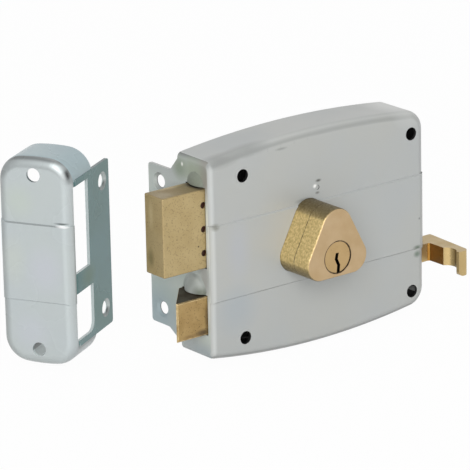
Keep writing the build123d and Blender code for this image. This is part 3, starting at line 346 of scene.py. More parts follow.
finishes = {
    "caseLacquer": {  # the case's front, its bends, top and bottom
        # crease and inside: painted shade in creases and in the corner holes and hollows
        "colour": (0.458, 0.468, 0.448), "other": (0.435, 0.462, 0.474), "specks": (0.38, 0.39, 0.39),
        "wornEdgeAndPaintedLight": (0.62, 0.63, 0.62), "crease": (0.13, 0.15, 0.165), "inside": (0.02, 0.02, 0.02),
        "mottleScale": 25, "speckAmount": 0.12, "edge": 0.75, "rough": 0.36, "bump": 0.005,
        # tilt and lean: painted light and shade by direction, a painted sheen on the left bend and darker
        # bands along the folds
        "tilt": [
            (0.0, 0.75), (0.12, 0.78), (0.2, 0.6), (0.28, 0.86), (0.37, 0.97), (0.5, 1.0), (0.58, 0.99),
            (0.64, 0.86), (0.74, 0.78), (0.84, 0.91), (0.91, 1.04), (1.0, 0.97),
        ],
        "lean": [
            (0.0, 1.0), (0.06, 1.1), (0.12, 1.12), (0.2, 1.18), (0.38, 1.08), (0.5, 1.0), (0.62, 0.94),
            (0.7, 1.05), (1.0, 0.95),
        ],
        "marks": [
            {"at": (-57.3, -25, 21.9), "size": (2.8, 6, 2.2), "colour": (0.2, 0.2, 0.16), "amount": 0.75},
            {"at": (-2.5, -25.3, 24.2), "size": (6.5, 6, 1.4), "colour": (0.17, 0.19, 0.18), "amount": 0.6},
            # two dark green patches beside the pull: painted reflection of the pull
            {"at": (69.0, -25, -15.2), "size": (3.2, 6, 1.5), "colour": (0.09, 0.13, 0.09), "amount": 0.8},
            {"at": (69.6, -25, -19.0), "size": (2.8, 6, 2.2), "colour": (0.06, 0.12, 0.07), "amount": 0.7},
            {"at": (70.6, -25, -0.4), "size": (0.9, 6, 0.8), "colour": (0.16, 0.17, 0.17), "amount": 0.8},
            {"at": (-16.2, -24, 52.9), "size": (4.5, 6, 0.9), "colour": (0.2, 0.21, 0.2), "amount": 0.55},
            # the dimple: dark crescents of painted shade round a white painted highlight
            {"at": (6.6, -25, 32.4), "size": (2.2, 6, 1.0), "colour": (0.06, 0.06, 0.05), "amount": 0.9},
            {"at": (5.9, -25, 26.3), "size": (1.7, 6, 0.9), "colour": (0.14, 0.14, 0.13), "amount": 0.85},
            {"at": (4.4, -25, 29.9), "size": (1.5, 6, 1.3), "colour": (1.0, 1.0, 0.98), "amount": 1.0},
            # a dark band of painted reflection along the top fold, then painted light at the top right
            # corner
            {"at": (-54, -24, 56), "size": (16, 8, 6.5), "colour": (0.26, 0.27, 0.26), "amount": 0.9},
            {"at": (-37, -24, 57.5), "size": (17, 8, 5.5), "colour": (0.28, 0.29, 0.28), "amount": 0.8},
            {"at": (66, -8, 55), "size": (16, 26, 12), "colour": (0.62, 0.63, 0.61), "amount": 0.8},
            # a bluish painted highlight right of the left bend, then a bluer patch at the lower left
            {"at": (-44, -25, 8), "size": (9, 6, 20), "colour": (0.44, 0.465, 0.52), "amount": 0.5},
            {"at": (-45, -25, -22), "size": (16, 6, 16), "colour": (0.38, 0.425, 0.46), "amount": 0.6},
        ],
    },
    # the forend: the case's lacquer again, lit apart from the front as painted light and shade
    "forendLacquer": {  # the case's side with the bolts, and the screw flange
        "colour": (0.66, 0.69, 0.68), "other": (0.60, 0.67, 0.60), "specks": (0.45, 0.46, 0.45),
        "wornEdgeAndPaintedLight": (0.62, 0.63, 0.62), "crease": (0.16, 0.18, 0.18), "inside": (0.05, 0.055, 0.05),
        "mottleScale": 45, "mottle": 0.8, "speckAmount": 0.15, "edge": 0.75, "rough": 0.36,
        # tilt, lean and rise: painted light and shade, darker towards the foot and the top
        "tilt": [(0.0, 0.5), (0.3, 0.8), (0.5, 1.0), (0.62, 0.9), (0.8, 0.68), (1.0, 0.55)],
        "lean": [(0.0, 1.0), (0.1, 0.84), (0.3, 0.62), (0.5, 0.55), (1.0, 0.5)],
        "rise": [
            (0.0, 0.78), (0.14, 0.82), (0.28, 1.0), (0.6, 1.02), (0.78, 0.95), (0.88, 0.78), (1.0, 0.72),
        ],
        "marks": [
            # painted reflections and shade: brown from the bolts' brass, green and blue patches, and a small
            # white painted highlight
            {"at": (-60, -19.5, -4), "size": (8, 6, 16), "colour": (0.26, 0.23, 0.19), "amount": 0.55},
            {"at": (-60, -20.5, 46), "size": (8, 8, 15), "colour": (0.30, 0.28, 0.24), "amount": 0.85},
            {"at": (-60, -12, 48), "size": (8, 11, 8), "colour": (0.38, 0.43, 0.33), "amount": 0.8},
            {"at": (-60, -1.5, 47), "size": (4, 7, 7), "colour": (0.29, 0.34, 0.26), "amount": 0.85},
            {"at": (-60, 19, -31), "size": (10, 26, 22), "colour": (0.37, 0.46, 0.50), "amount": 0.85},
            {"at": (-60, -17, -43.5), "size": (10, 17, 7), "colour": (0.34, 0.39, 0.41), "amount": 0.85},
            {"at": (-60, -3.7, 49.4), "size": (3, 1.0, 1.4), "colour": (1.0, 1.0, 0.95), "amount": 1.0},
        ],
    },
    # the hoods: the case's lacquer again, whose tilt and lean paint light and shade that even out their
    # bulges
    "hoodLacquer": {  # the hoods over the two bolts
        "colour": (0.45, 0.475, 0.45), "other": (0.43, 0.47, 0.43), "specks": (0.35, 0.36, 0.35),
        "wornEdgeAndPaintedLight": (0.62, 0.63, 0.62), "mottleScale": 45, "speckAmount": 0.12, "rough": 0.5,
        "tilt": [(0.0, 1.1), (0.5, 1.0), (1.0, 1.05)],
        "lean": [(0.0, 1.1), (0.05, 0.9), (0.1, 0.96), (0.18, 1.3), (0.35, 1.5), (1.0, 1.3)],
        "marks": [
            # a painted shadow over the deadbolt, painted light on the latch's hood, a greyer patch, and
            # painted shade under that hood's rim
            {"at": (-61, -14.5, 44), "size": (8, 16, 12), "colour": (0.20, 0.225, 0.17), "amount": 0.85},
            {"at": (-61, -7.0, -7), "size": (4, 6, 7), "colour": (0.60, 0.63, 0.60), "amount": 0.8},
            {"at": (-63.5, -14, -8.5), "size": (3, 6, 5), "colour": (0.36, 0.385, 0.36), "amount": 0.7},
            {"at": (-61.5, -18.5, -12), "size": (6, 6, 4.2), "colour": (0.15, 0.17, 0.13), "amount": 0.85},
        ],
    },
    "strikeLacquer": {  # the strike's face and its bends
        "colour": (0.482, 0.527, 0.522), "other": (0.47, 0.515, 0.55), "specks": (0.38, 0.42, 0.42),
        # crease: painted shade in creases; inside: painted light in the strike's hollow
        "wornEdgeAndPaintedLight": (0.72, 0.75, 0.74), "crease": (0.2, 0.25, 0.26), "inside": (0.55, 0.62, 0.62),
        "mottleScale": 25, "mottle": 0.4, "speckAmount": 0.22, "edge": 0.8, "rough": 0.26,
        "bump": 0.004,
        # tilt, lean and the glints: painted reflections, bright and dark bands on the bends
        "tilt": [
            (0.0, 0.8), (0.12, 0.95), (0.35, 0.95), (0.5, 1.0), (0.55, 0.88), (0.61, 0.76), (0.72, 0.78),
            (0.82, 0.76), (0.88, 0.52), (0.94, 0.36), (0.97, 0.45), (1.0, 0.84),
        ],
        "lean": [
            (0.0, 0.65), (0.2, 0.78), (0.3, 0.84), (0.4, 0.92), (0.5, 1.0), (0.66, 1.1), (0.76, 1.02),
            (0.86, 1.0), (0.95, 0.95), (0.975, 0.65), (1.0, 0.45),
        ],
        "glint": True,
        "marks": [
            # a painted highlight on the end of the raised band, under a dark line of painted shade
            {"at": (-114.4, 19.9, 23.6), "size": (3.2, 5.6, 0.8), "colour": (1.0, 1.0, 1.0), "amount": 1.0},
            {
                "at": (-114.6, 20.3, 24.9), "size": (3.6, 6.2, 0.7), "colour": (0.07, 0.09, 0.09),
                "amount": 0.9,
            },
            {"at": (-119.5, 28.7, 0.9), "size": (9, 14, 15), "colour": (0.52, 0.535, 0.60), "amount": 0.55},
            {"at": (-123.5, 35.6, -32), "size": (9, 14, 12), "colour": (0.52, 0.545, 0.60), "amount": 0.5},
            {"at": (-126, 40, 34), "size": (8, 12, 11), "colour": (0.49, 0.55, 0.49), "amount": 0.6},
            {"at": (-127.6, 42.8, 4.3), "size": (6, 9, 15), "colour": (0.52, 0.56, 0.51), "amount": 0.5},
        ],
    },
    # the strike's side and flange: the strike's finish again in painted shade
    "strikeSide": {  # the strike's side and flange, dark and greenish
        "colour": (0.108, 0.222, 0.235), "other": (0.118, 0.212, 0.192), "specks": (0.09, 0.15, 0.15),
        "wornEdgeAndPaintedLight": (0.5, 0.56, 0.55), "crease": (0.1, 0.14, 0.14), "inside": (0.30, 0.35, 0.36),
        "mottleScale": 30, "mottle": 0.8, "speckAmount": 0.25, "edge": 0.8, "rough": 0.26, "bump": 0.004,
        "marks": [
            {"at": (-97.5, 25.8, -5.7), "size": (10, 10, 8), "colour": (0.10, 0.185, 0.125), "amount": 0.7},
        ],
    },
    # the strike's top fold: the strike's finish again, darker and bluer as painted shade
    "strikeTop": {  # the strike's top fold
        "colour": (0.37, 0.475, 0.50), "other": (0.355, 0.445, 0.48), "specks": (0.32, 0.37, 0.38),
        "wornEdgeAndPaintedLight": (0.6, 0.64, 0.65), "mottleScale": 40, "speckAmount": 0.12, "edge": 0.8, "rough": 0.26,
        "bump": 0.004,
    },
    "boltBrass": {  # the deadbolt's head
        "colour": (0.485, 0.372, 0.183), "other": (0.42, 0.315, 0.145), "specks": (0.17, 0.12, 0.05),
        "wornEdgeAndPaintedLight": (0.85, 0.70, 0.42), "mottleScale": 110, "mottle": 0.7, "speckAmount": 0.6,
        "edge": 0.9, "metallic": 0.45, "rough": 0.46, "roughSpread": 0.1, "bump": 0.02,
        "grainScale": 1400, "pits": [(260, 0.8), (620, 0.65)], "speckFrom": 0.6,
        "marks": [
            # a near black painted shadow where the deadbolt's top meets the slot in the forend
            {"at": (-61.3, -14, 40.8), "size": (2.8, 11, 2), "colour": (0.015, 0.01, 0.006), "amount": 1.0},
            {"at": (-64.4, -21, 12.9), "size": (0.6, 1, 0.6), "colour": (0.03, 0.02, 0.01), "amount": 1.0},
            {"at": (-85.2, -10.8, 9.2), "size": (1.5, 3.2, 6), "colour": (0.13, 0.115, 0.04), "amount": 0.6},
            {"at": (-85.2, -11.5, 31), "size": (1.5, 2.4, 9), "colour": (0.62, 0.52, 0.30), "amount": 0.45},
            {"at": (-70, -8, 40.8), "size": (12, 2.2, 1.2), "colour": (0.62, 0.50, 0.30), "amount": 0.5},
        ],
        # tilt and lean: painted shade, darker on the top, the bottom and one side
        "tilt": [(0.0, 0.55), (0.5, 1.0), (1.0, 0.56)],
        "lean": [(0.0, 0.90), (0.5, 1.0), (1.0, 1.0)],
    },
    "latchBrass": {  # the latch
        "colour": (0.44, 0.30, 0.12), "other": (0.35, 0.225, 0.08), "specks": (0.07, 0.045, 0.02),
        "wornEdgeAndPaintedLight": (0.95, 0.76, 0.42), "mottleScale": 140, "mottle": 0.75, "speckAmount": 0.7,
        "edge": 1.0, "metallic": 0.45, "rough": 0.46, "roughSpread": 0.1, "bump": 0.02,
        "grainScale": 1400, "pits": [(300, 0.6), (700, 0.5)], "speckFrom": 0.62,
        "marks": [
            {"at": (-63, -21, -31), "size": (6, 8, 2.5), "colour": (0.06, 0.035, 0.015), "amount": 0.85},
            {"at": (-60.6, -21, -24), "size": (1.4, 6, 9), "colour": (0.10, 0.06, 0.025), "amount": 0.6},
            {"at": (-71, -21, -31.2), "size": (5, 6, 1.2), "colour": (0.17, 0.10, 0.04), "amount": 0.5},
        ],
        # tilt and lean: painted shade, the top nearly black and the bottom darker
        "tilt": [(0.0, 0.5), (0.5, 1.0), (0.75, 0.8), (1.0, 0.12)],
        "lean": [(0.0, 0.8), (0.5, 1.0), (1.0, 1.0)],
    },
    "cylinderBrass": {  # the cylinder's faced front
        "colour": (0.53, 0.38, 0.215), "other": (0.47, 0.325, 0.165), "specks": (0.3, 0.2, 0.09),
        # crease and inside: painted shade in creases and hollows
        "wornEdgeAndPaintedLight": (0.86, 0.72, 0.48), "crease": (0.05, 0.03, 0.012), "inside": (0.03, 0.02, 0.01),
        "mottleScale": 120, "mottle": 0.8, "edge": 0.5, "metallic": 0.5, "rough": 0.36,
        "bump": 0.01, "grainScale": 1500, "ring": plugGroove,
    },
    "castBrass": {  # the cylinder's cast side
        "colour": (0.78, 0.60, 0.28), "other": (0.39, 0.28, 0.085), "specks": (0.95, 0.82, 0.48),
        "wornEdgeAndPaintedLight": (0.86, 0.72, 0.48), "crease": (0.05, 0.03, 0.012), "inside": (0.03, 0.02, 0.01),
        "mottleScale": 900, "mottle": 0.75, "speckAmount": 0.35, "metallic": 0.4, "rough": 0.48,
        "bump": 0.12, "grainScale": 900, "seam": {"at": -36.3, "wide": 0.22},
        # tilt: painted shade, darker on the top and the bottom of the cast side
        "tilt": [
            (0.0, 0.3), (0.25, 0.36), (0.4, 0.6), (0.5, 1.0), (0.72, 1.0), (0.8, 0.5), (0.9, 0.27),
            (1.0, 0.22),
        ],
    },
    "plugBrass": {  # the plug
        "colour": (0.51, 0.345, 0.155), "other": (0.45, 0.30, 0.13), "specks": (0.25, 0.16, 0.07),
        # its edge colour is dark, painted shade in the gap round the plug; crease and inside paint shade
        # into its creases and keyway
        "wornEdgeAndPaintedLight": (0.06, 0.035, 0.015), "crease": (0.02, 0.012, 0.006), "inside": (0.008, 0.006, 0.004),
        "mottleScale": 150, "mottle": 0.6, "speckAmount": 0.35, "edge": 1.0, "metallic": 0.5,
        "rough": 0.34, "grainScale": 1500, "ring": plugGroove,
    },
    "pullBrass": {  # the finger pull
        "colour": (0.50, 0.37, 0.17), "other": (0.44, 0.315, 0.135), "specks": (0.25, 0.16, 0.06),
        "wornEdgeAndPaintedLight": (0.75, 0.60, 0.36), "mottleScale": 100, "speckAmount": 0.4, "edge": 0.9,
        "metallic": 0.6, "rough": 0.34, "roughSpread": 0.1, "bump": 0.02, "grainScale": 1200,
        # tilt and lean: painted light and shade, the back darker and the front lighter
        "tilt": [(0.0, 0.6), (0.5, 1.0), (0.8, 1.0), (1.0, 0.92)],
        "lean": [(0.0, 0.3), (0.4, 0.4), (0.5, 1.0), (0.66, 1.0), (0.78, 1.4), (0.9, 1.25), (1.0, 1.1)],
        "marks": [
            {"at": (76.5, -15, -13), "size": (9, 18, 12), "colour": (0.26, 0.20, 0.11), "amount": 0.8},
        ],
    },
    # the pull's brass again, darker and more orange, as painted shade
    "pullInner": {  # the front of the pull's arm
        "colour": (0.55, 0.28, 0.045), "other": (0.38, 0.17, 0.025), "specks": (0.7, 0.45, 0.12),
        "wornEdgeAndPaintedLight": (0.6, 0.42, 0.16), "mottleScale": 160, "speckAmount": 0.3, "metallic": 0.6,
        "rough": 0.34, "bump": 0.02, "grainScale": 1200,
    },
    # the pull's brass again in deep painted shade
    "pullShade": {  # the inner face of its hook
        "colour": (0.28, 0.13, 0.025), "other": (0.17, 0.075, 0.014), "specks": (0.4, 0.22, 0.05),
        "wornEdgeAndPaintedLight": (0.5, 0.34, 0.13), "mottleScale": 160, "speckAmount": 0.2, "metallic": 0.6,
        "rough": 0.34, "bump": 0.02, "grainScale": 1200,
    },
    "turnedBrass": {  # pins and bush
        "colour": (0.62, 0.45, 0.18), "other": (0.55, 0.40, 0.16), "specks": (0.35, 0.25, 0.1),
        "wornEdgeAndPaintedLight": (0.8, 0.64, 0.36), "mottleScale": 200, "mottle": 0.4, "speckAmount": 0.2,
        "metallic": 0.9, "rough": 0.28, "grainScale": 2500,
    },
    "zincSteel": {  # everything of plated steel inside and behind
        "colour": (0.50, 0.52, 0.52), "other": (0.44, 0.46, 0.44), "specks": (0.3, 0.3, 0.28),
        "wornEdgeAndPaintedLight": (0.7, 0.71, 0.7), "inside": (0.2, 0.2, 0.2), "metallic": 0.85, "rough": 0.38,
        "roughSpread": 0.12, "stretch": (1, 1, 6),
    },
    # near black: painted shade of the rivets' recesses
    "rivetSteel": {  # the rivets in the deadbolt's head
        "colour": (0.05, 0.014, 0.008), "other": (0.015, 0.006, 0.004), "specks": (0.3, 0.12, 0.05),
        "wornEdgeAndPaintedLight": (0.10, 0.045, 0.03), "mottleScale": 500, "metallic": 0.3, "rough": 0.4,
        "grainScale": 2000,
    },
    "springSteel": {  # springs and clip
        "colour": (0.30, 0.31, 0.32), "other": (0.24, 0.25, 0.26), "specks": (0.15, 0.15, 0.15),
        "wornEdgeAndPaintedLight": (0.5, 0.5, 0.5), "mottleScale": 200, "metallic": 0.9, "rough": 0.3,
        "grainScale": 2000,
    },
}

paintedLightRoom = 2.0  # a curve holds 0 to 1, so it keeps brightness as a share of this
glintRoom = 4.0  # the same for the glints


def rgba(colour):
    # the colour with a full alpha
    return (*colour, 1)


def paintedLightRamp(tree, attribute, stops):
    # painted light and shade: brightness over an attribute of the faces, on a smooth curve through
    # the stops
    node = tree.nodes.new("ShaderNodeFloatCurve")
    curve = node.mapping.curves[0]
    for place, value in stops[1:-1]:
        curve.points.new(place, value / paintedLightRoom)
    for end in (0, -1):
        place, value = stops[end]
        curve.points[end].location = (place, value / paintedLightRoom)
    for point in curve.points:
        point.handle_type = "AUTO_CLAMPED"
    node.mapping.update()
    feed(tree, node.inputs["Value"], faceMark(tree, attribute))
    return times(tree, node.outputs["Value"], paintedLightRoom)


def placeEffect(tree, name, values):
    # an effect's node group in a material, with values or links at its inputs
    node = tree.nodes.new("ShaderNodeGroup")
    node.node_tree = effects[name]
    for label, value in values.items():
        feed(tree, node.inputs[label], value)
    return node.outputs


def makeFinish(name, want):
    # a mottled colour with light and shade painted in by the way the faces look, under pits, marks,
    # lines, worn edges with painted highlights, and creases and hollows in painted shade
    want = {**plain, **want}
    crease = want.get("crease", [part / want["creaseDarker"] for part in want["colour"]])
    material = bpy.data.materials.new(name)
    material.use_nodes = True
    tree = material.node_tree
    mottle = placeEffect(tree, "mottle", {
        "Colour": rgba(want["colour"]), "Other": rgba(want["other"]), "Specks": rgba(want["specks"]),
        "Scale": want["mottleScale"], "Amount": want["mottle"], "Speck Amount": want["speckAmount"],
        "Speck From": want["speckFrom"],
    })
    colour = mottle["Colour"]
    for attribute in ("tilt", "lean", "rise"):
        if attribute in want:
            colour = vectorMaths(tree, "SCALE", colour, paintedLightRamp(tree, attribute, want[attribute]))
    # glints: painted highlights and painted dark reflections
    if want["glint"]:
        colour = vectorMaths(tree, "SCALE", colour, times(tree, faceMark(tree, "glint"), glintRoom))
    for scale, amount in want["pits"]:
        colour = placeEffect(tree, "pits", {
            "Colour": colour, "Pit": rgba(want["specks"]), "Scale": scale, "Amount": amount,
        })["Colour"]
    for mark in want["marks"]:
        colour = placeEffect(tree, "smudgeAndPaintedLight", {
            "Colour": colour, "Mark": rgba(mark["colour"]), "Amount": mark["amount"],
            "Place": [part * mm for part in mark["at"]], "Size": [part * mm for part in mark["size"]],
        })["Colour"]
    if "seam" in want:
        colour = placeEffect(tree, "seam", {
            "Colour": colour, "Line": rgba(crease), "At": want["seam"]["at"] * mm,
            "Width": want["seam"]["wide"] * mm,
        })["Colour"]
    if "ring" in want:
        colour = placeEffect(tree, "ringLine", {
            "Colour": colour, "Line": rgba(crease), "Centre": want["ring"]["centre"],
            "Radius": want["ring"]["radius"] * mm, "Width": want["ring"]["wide"] * mm,
        })["Colour"]
    worn = placeEffect(tree, "edgeWearAndPaintedLight", {
        "Colour": colour, "Worn Edge And Painted Light": rgba(want["wornEdgeAndPaintedLight"]), "Amount": want["edge"],
        "Crease": rgba(crease), "Inside": rgba(want.get("inside", crease)),
    })
    grain = placeEffect(tree, "grain", {"Scale": want["grainScale"], "Stretch": want["stretch"]})
    bump = tree.nodes.new("ShaderNodeBump")
    bump.inputs["Distance"].default_value = want["bump"] * mm
    feed(tree, bump.inputs["Height"], grain["Height"])
    rough, spread = want["rough"], want["roughSpread"]
    roughness = ramp(tree, mottle["Tone"], 0, 1, rough - spread, rough + spread)
    shader = tree.nodes["Principled BSDF"]
    feed(tree, shader.inputs["Base Color"], worn["Colour"])
    feed(tree, shader.inputs["Roughness"], roughness)
    shader.inputs["Metallic"].default_value = want["metallic"]
    feed(tree, shader.inputs["Normal"], bump.outputs["Normal"])
    return material


materials = {name: makeFinish(name, want) for name, want in finishes.items()}
print("finishes made:", len(materials))


# Dressed pieces: each visible solid again, its triangles joined, with softened edges. Lengths are
# in millimetres. A rule in "faces" gives another finish to the faces whose middle lies in its x, y
# and z and that look along each of its directions by a share from low to high; these finishes are
# often lit or shaded copies, painted light and shade. A glint is a painted highlight on what has
# about its tilt and lean, or a painted dark reflection where its gain is below zero

up = (0, 0, 1)
left = (-1, 0, 0)
right = (1, 0, 0)
front = (0, -1, 0)
back = (0, 1, 0)
strikeFront = (-0.866, -0.5, 0)  # the strike's face looks left, turned 30 degrees to the front
strikeAcross = (0.5, -0.866, 0)  # level, across that face
anywhere = (-1000, 1000)  # further than any piece reaches

dressing = {
    "case_shell": {
        "finish": "caseLacquer", "soften": 0.22, "inside": {"from": -59.5},
        "wallBack": {"x": (-58.7, 1000), "y": (-1000, -5), "looks": 0.5},
        "faces": [
            {"finish": "forendLacquer", "looks": [(left, 0.97, 1.0)], "x": (-62, -58)},
            {"finish": "forendLacquer", "looks": [(left, 0.05, 1.0)], "x": (-75, -58.5), "y": (-22.4, 20)},
            {"finish": "hoodLacquer", "looks": [(left, -0.9, 0.9999)], "x": (-66, -60.03)},
        ],
    },
    "strike_box": {
        "finish": "strikeLacquer", "soften": 0.22, "lean": strikeAcross, "inside": {},
        "glints": [
            {"tilt": 0.755, "tiltSpread": 0.065, "lean": 0.64, "leanSpread": 0.07, "gain": 1.45},
            {"tilt": 0.70, "tiltSpread": 0.075, "lean": 0.855, "leanSpread": 0.045, "gain": -1.0},
        ],
        "faces": [
            {
                "finish": "strikeTop", "z": (35, 1000),
                "looks": [(up, 0.02, 1.0), (strikeFront, -0.25, 0.25)],
            },
            {"finish": "strikeSide", "looks": [(strikeAcross, 0.97, 1.0)]},
        ],
    },
    "back_plate": {"finish": "zincSteel", "soften": 0.12},
    "case_posts": {"finish": "zincSteel", "soften": 0},
    "back_screws": {"finish": "zincSteel", "soften": 0.08},
    "cylinder_body": {
        "finish": "cylinderBrass", "soften": 0.2, "inside": {},
        "faces": [{"finish": "castBrass", "looks": [(back, -0.75, 0.75)]}],
    },
    "cylinder_screws": {"finish": "zincSteel", "soften": 0.08},
    "cylinder_spacers": {"finish": "zincSteel", "soften": 0},
    "key_plug": {"finish": "plugBrass", "soften": 0.22, "inside": {}},
    "plug_clip": {"finish": "springSteel", "soften": 0},
    "key_pins": {"finish": "turnedBrass", "soften": 0},
    "driver_pins": {"finish": "turnedBrass", "soften": 0},
    "drive_pinion": {"finish": "zincSteel", "soften": 0.1},
    "pinion_bush": {"finish": "turnedBrass", "soften": 0.12},
    "deadbolt_head": {"finish": "boltBrass", "soften": 0.4},
    "deadbolt_tail": {"finish": "zincSteel", "soften": 0.1},
    "deadbolt_rivets": {"finish": "rivetSteel", "soften": 0.1},
    "latch_bolt": {"finish": "latchBrass", "soften": 0.4},
    "latch_rod": {"finish": "zincSteel", "soften": 0},
    "latch_bracket": {"finish": "zincSteel", "soften": 0.1},
    "bracket_rivets": {"finish": "zincSteel", "soften": 0.1},
    "latch_pull": {
        "finish": "pullBrass", "soften": 0.45, "lean": front,
        "faces": [
            {"finish": "pullInner", "looks": [(front, 0.5, 1.0)], "x": (70, 84.8)},
            {"finish": "pullShade", "looks": [(left, 0.85, 1.0)], "x": (84, 84.8)},
        ],
    },
    "pull_pin": {"finish": "zincSteel", "soften": 0},
    "latch_lever": {"finish": "zincSteel", "soften": 0.1},
    "lever_pivot": {"finish": "zincSteel", "soften": 0.1},
    "lever_pin": {"finish": "zincSteel", "soften": 0},
}
meshing = {  # angles are in radians, and creaseReach is a number of softenings
    "mergeGap": 0.002, "flatAngle": 0.003, "sharpAngle": 0.5, "softSteps": 2, "softProfile": 0.5,
    "rayStart": 0.05, "creaseStep": 0.4, "creaseReach": 2,
}


def within(value, band):
    # whether a place in metres lies in a band in millimetres
    return band[0] * mm <= value <= band[1] * mm


def mergedCopy(name):
    # a node's mesh, its loose triangles joined where their corners meet
    mesh = bmesh.new()
    mesh.from_mesh(frame["nodes"][name].data)
    bmesh.ops.remove_doubles(mesh, verts=mesh.verts, dist=meshing["mergeGap"] * mm)
    return mesh


def newPiece(name, mesh, finishNames):
    # the mesh as an object with its materials
    shape = bpy.data.meshes.new(name + "Shape")
    mesh.to_mesh(shape)
    mesh.free()
    for finish in finishNames:
        shape.materials.append(materials[finish])
    piece = bpy.data.objects.new(name + "Piece", shape)
    bpy.context.scene.collection.objects.link(piece)
    return piece


def standFor(piece, name):
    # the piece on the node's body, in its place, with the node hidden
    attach(piece, frame["nodes"][name]["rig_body"])
    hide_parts(name)


def markInside(mesh, want):
    # faces, from an x on, whose ray straight out meets the same piece, and the back of a front wall:
    # hollows for painted shade, on the strike for painted light
    inside = mesh.faces.layers.float.new("inside")
    tree = BVHTree.FromBMesh(mesh)
    hollowFrom = want["inside"].get("from", anywhere[0]) * mm
    wall = want.get("wallBack")
    for face in mesh.faces:
        start = face.calc_center_median() + face.normal * meshing["rayStart"] * mm
        marked = start.x > hollowFrom and tree.ray_cast(start, face.normal)[0] is not None
        if wall and face.normal.y > wall["looks"]:
            marked = marked or within(start.x, wall["x"]) and within(start.y, wall["y"])
        face[inside] = float(marked)


def pointsAlong(edges, step):
    # points at even steps along the edges, in a tree for distance questions
    points = []
    for edge in edges:
        first, second = edge.verts[0].co, edge.verts[1].co
        count = max(1, round(edge.calc_length() / step))
        points += [first.lerp(second, i / count) for i in range(count + 1)]
    tree = KDTree(len(points))
    for i, point in enumerate(points):
        tree.insert(point, i)
    tree.balance()
    return tree


def isSharp(edge):
    # whether the two faces of an edge turn by more than the sharp angle
    return edge.is_manifold and edge.calc_face_angle(0) > meshing["sharpAngle"]


def softenEdges(mesh, soften):
    # rounds the sharp edges; the new faces are marked as creases near a hollow edge, for painted
    # shade, else as edges, for wear and painted highlights
    edgeMark = mesh.faces.layers.float.new("edge")
    creaseMark = mesh.faces.layers.float.new("crease")
    if not soften:
        return
    sharp = [edge for edge in mesh.edges if isSharp(edge)]
    hollow = [edge for edge in sharp if not edge.is_convex]
    creases = pointsAlong(hollow, meshing["creaseStep"] * mm) if hollow else None
    made = bmesh.ops.bevel(
        mesh, geom=sharp, offset=soften * mm, offset_type="OFFSET", segments=meshing["softSteps"],
        profile=meshing["softProfile"], affect="EDGES", clamp_overlap=True,
    )
    reach = meshing["creaseReach"] * soften * mm
    for face in made["faces"]:
        near = creases and creases.find(face.calc_center_median())[2] < reach
        face[creaseMark if near else edgeMark] = 1.0


def facingNormals(piece):
    # the normals that the render uses, after the flat faces have taken their edges along
    bpy.context.view_layer.update()
    settled = piece.evaluated_get(bpy.context.evaluated_depsgraph_get()).data
    normals = np.empty(len(settled.loops) * 3)
    settled.corner_normals.foreach_get("vector", normals)
    return normals.reshape(-1, 3)


def writeCorners(shape, label, values):
    # one number for each corner of each face
    attribute = shape.attributes.new(label, "FLOAT", "CORNER")
    attribute.data.foreach_set("value", values.astype(np.float32))


def markDirections(shape, normals, want):
    # tilt and lean: how far a corner looks up and along the piece's lean, from 0 to 1. rise: how
    # high it is on the piece. The finishes paint light and shade by these three. glint: 1, plus a bell
    # over tilt times a bell over lean for each glint, a painted highlight or painted dark reflection
    ways = {"tilt": up, "lean": want.get("lean", right)}
    looks = {label: (normals @ np.array(way) + 1) / 2 for label, way in ways.items()}
    heights = np.empty(len(shape.vertices) * 3)
    shape.vertices.foreach_get("co", heights)
    heights = heights[2::3]
    corners = np.empty(len(shape.loops), dtype=int)
    shape.loops.foreach_get("vertex_index", corners)
    rise = (heights - heights.min()) / np.ptp(heights)
    glint = np.ones(len(shape.loops))
    for one in want.get("glints", []):
        away = sum(((looks[k] - one[k]) / one[k + "Spread"]) ** 2 for k in looks)
        glint += one["gain"] * np.exp(-away / 2)
    writeCorners(shape, "tilt", looks["tilt"])
    writeCorners(shape, "lean", looks["lean"])
    writeCorners(shape, "rise", rise[corners])
    writeCorners(shape, "glint", np.clip(glint, 0, glintRoom) / glintRoom)


def finishFaces(shape, rules):
    # gives each face the last rule that fits it
    for index, rule in enumerate(rules, start=1):
        for face in shape.polygons:
            placed = all(within(at, rule.get(k, anywhere)) for k, at in zip("xyz", face.center))
            shares = [(face.normal.dot(Vector(way)), low, high) for way, low, high in rule["looks"]]
            if placed and all(low <= share <= high for share, low, high in shares):
                face.material_index = index


def dressNode(name, want):
    # the node's mesh with joined flats and softened edges, marked for its finishes
    rules = want.get("faces", [])
    mesh = mergedCopy(name)
    bmesh.ops.dissolve_limit(
        mesh, angle_limit=meshing["flatAngle"], verts=mesh.verts, edges=mesh.edges,
    )
    if "inside" in want:
        markInside(mesh, want)
    softenEdges(mesh, want["soften"])
    for face in mesh.faces:
        face.smooth = True
    for edge in mesh.edges:
        edge.smooth = not isSharp(edge)
    piece = newPiece(name, mesh, [want["finish"]] + [rule["finish"] for rule in rules])
    weighted = piece.modifiers.new("flatFaces", "WEIGHTED_NORMAL")
    weighted.keep_sharp = True
    markDirections(piece.data, facingNormals(piece), want)
    finishFaces(piece.data, rules)
    standFor(piece, name)


for name, want in dressing.items():
    dressNode(name, want)
print("pieces dressed:", len(dressing))


# The springs: those over the pins keep their own mesh, and the latch's is a smooth copy of its own

pinSprings = {"node": "pin_springs", "finish": "springSteel"}
latchSpring = {"node": "latch_spring", "finish": "springSteel", "joint": "latch_slide", "spare": 0.1}


def finishNode(want):
    # a finish on the node's own mesh
    node = frame["nodes"][want["node"]]
    node.data.materials.clear()
    node.data.materials.append(materials[want["finish"]])


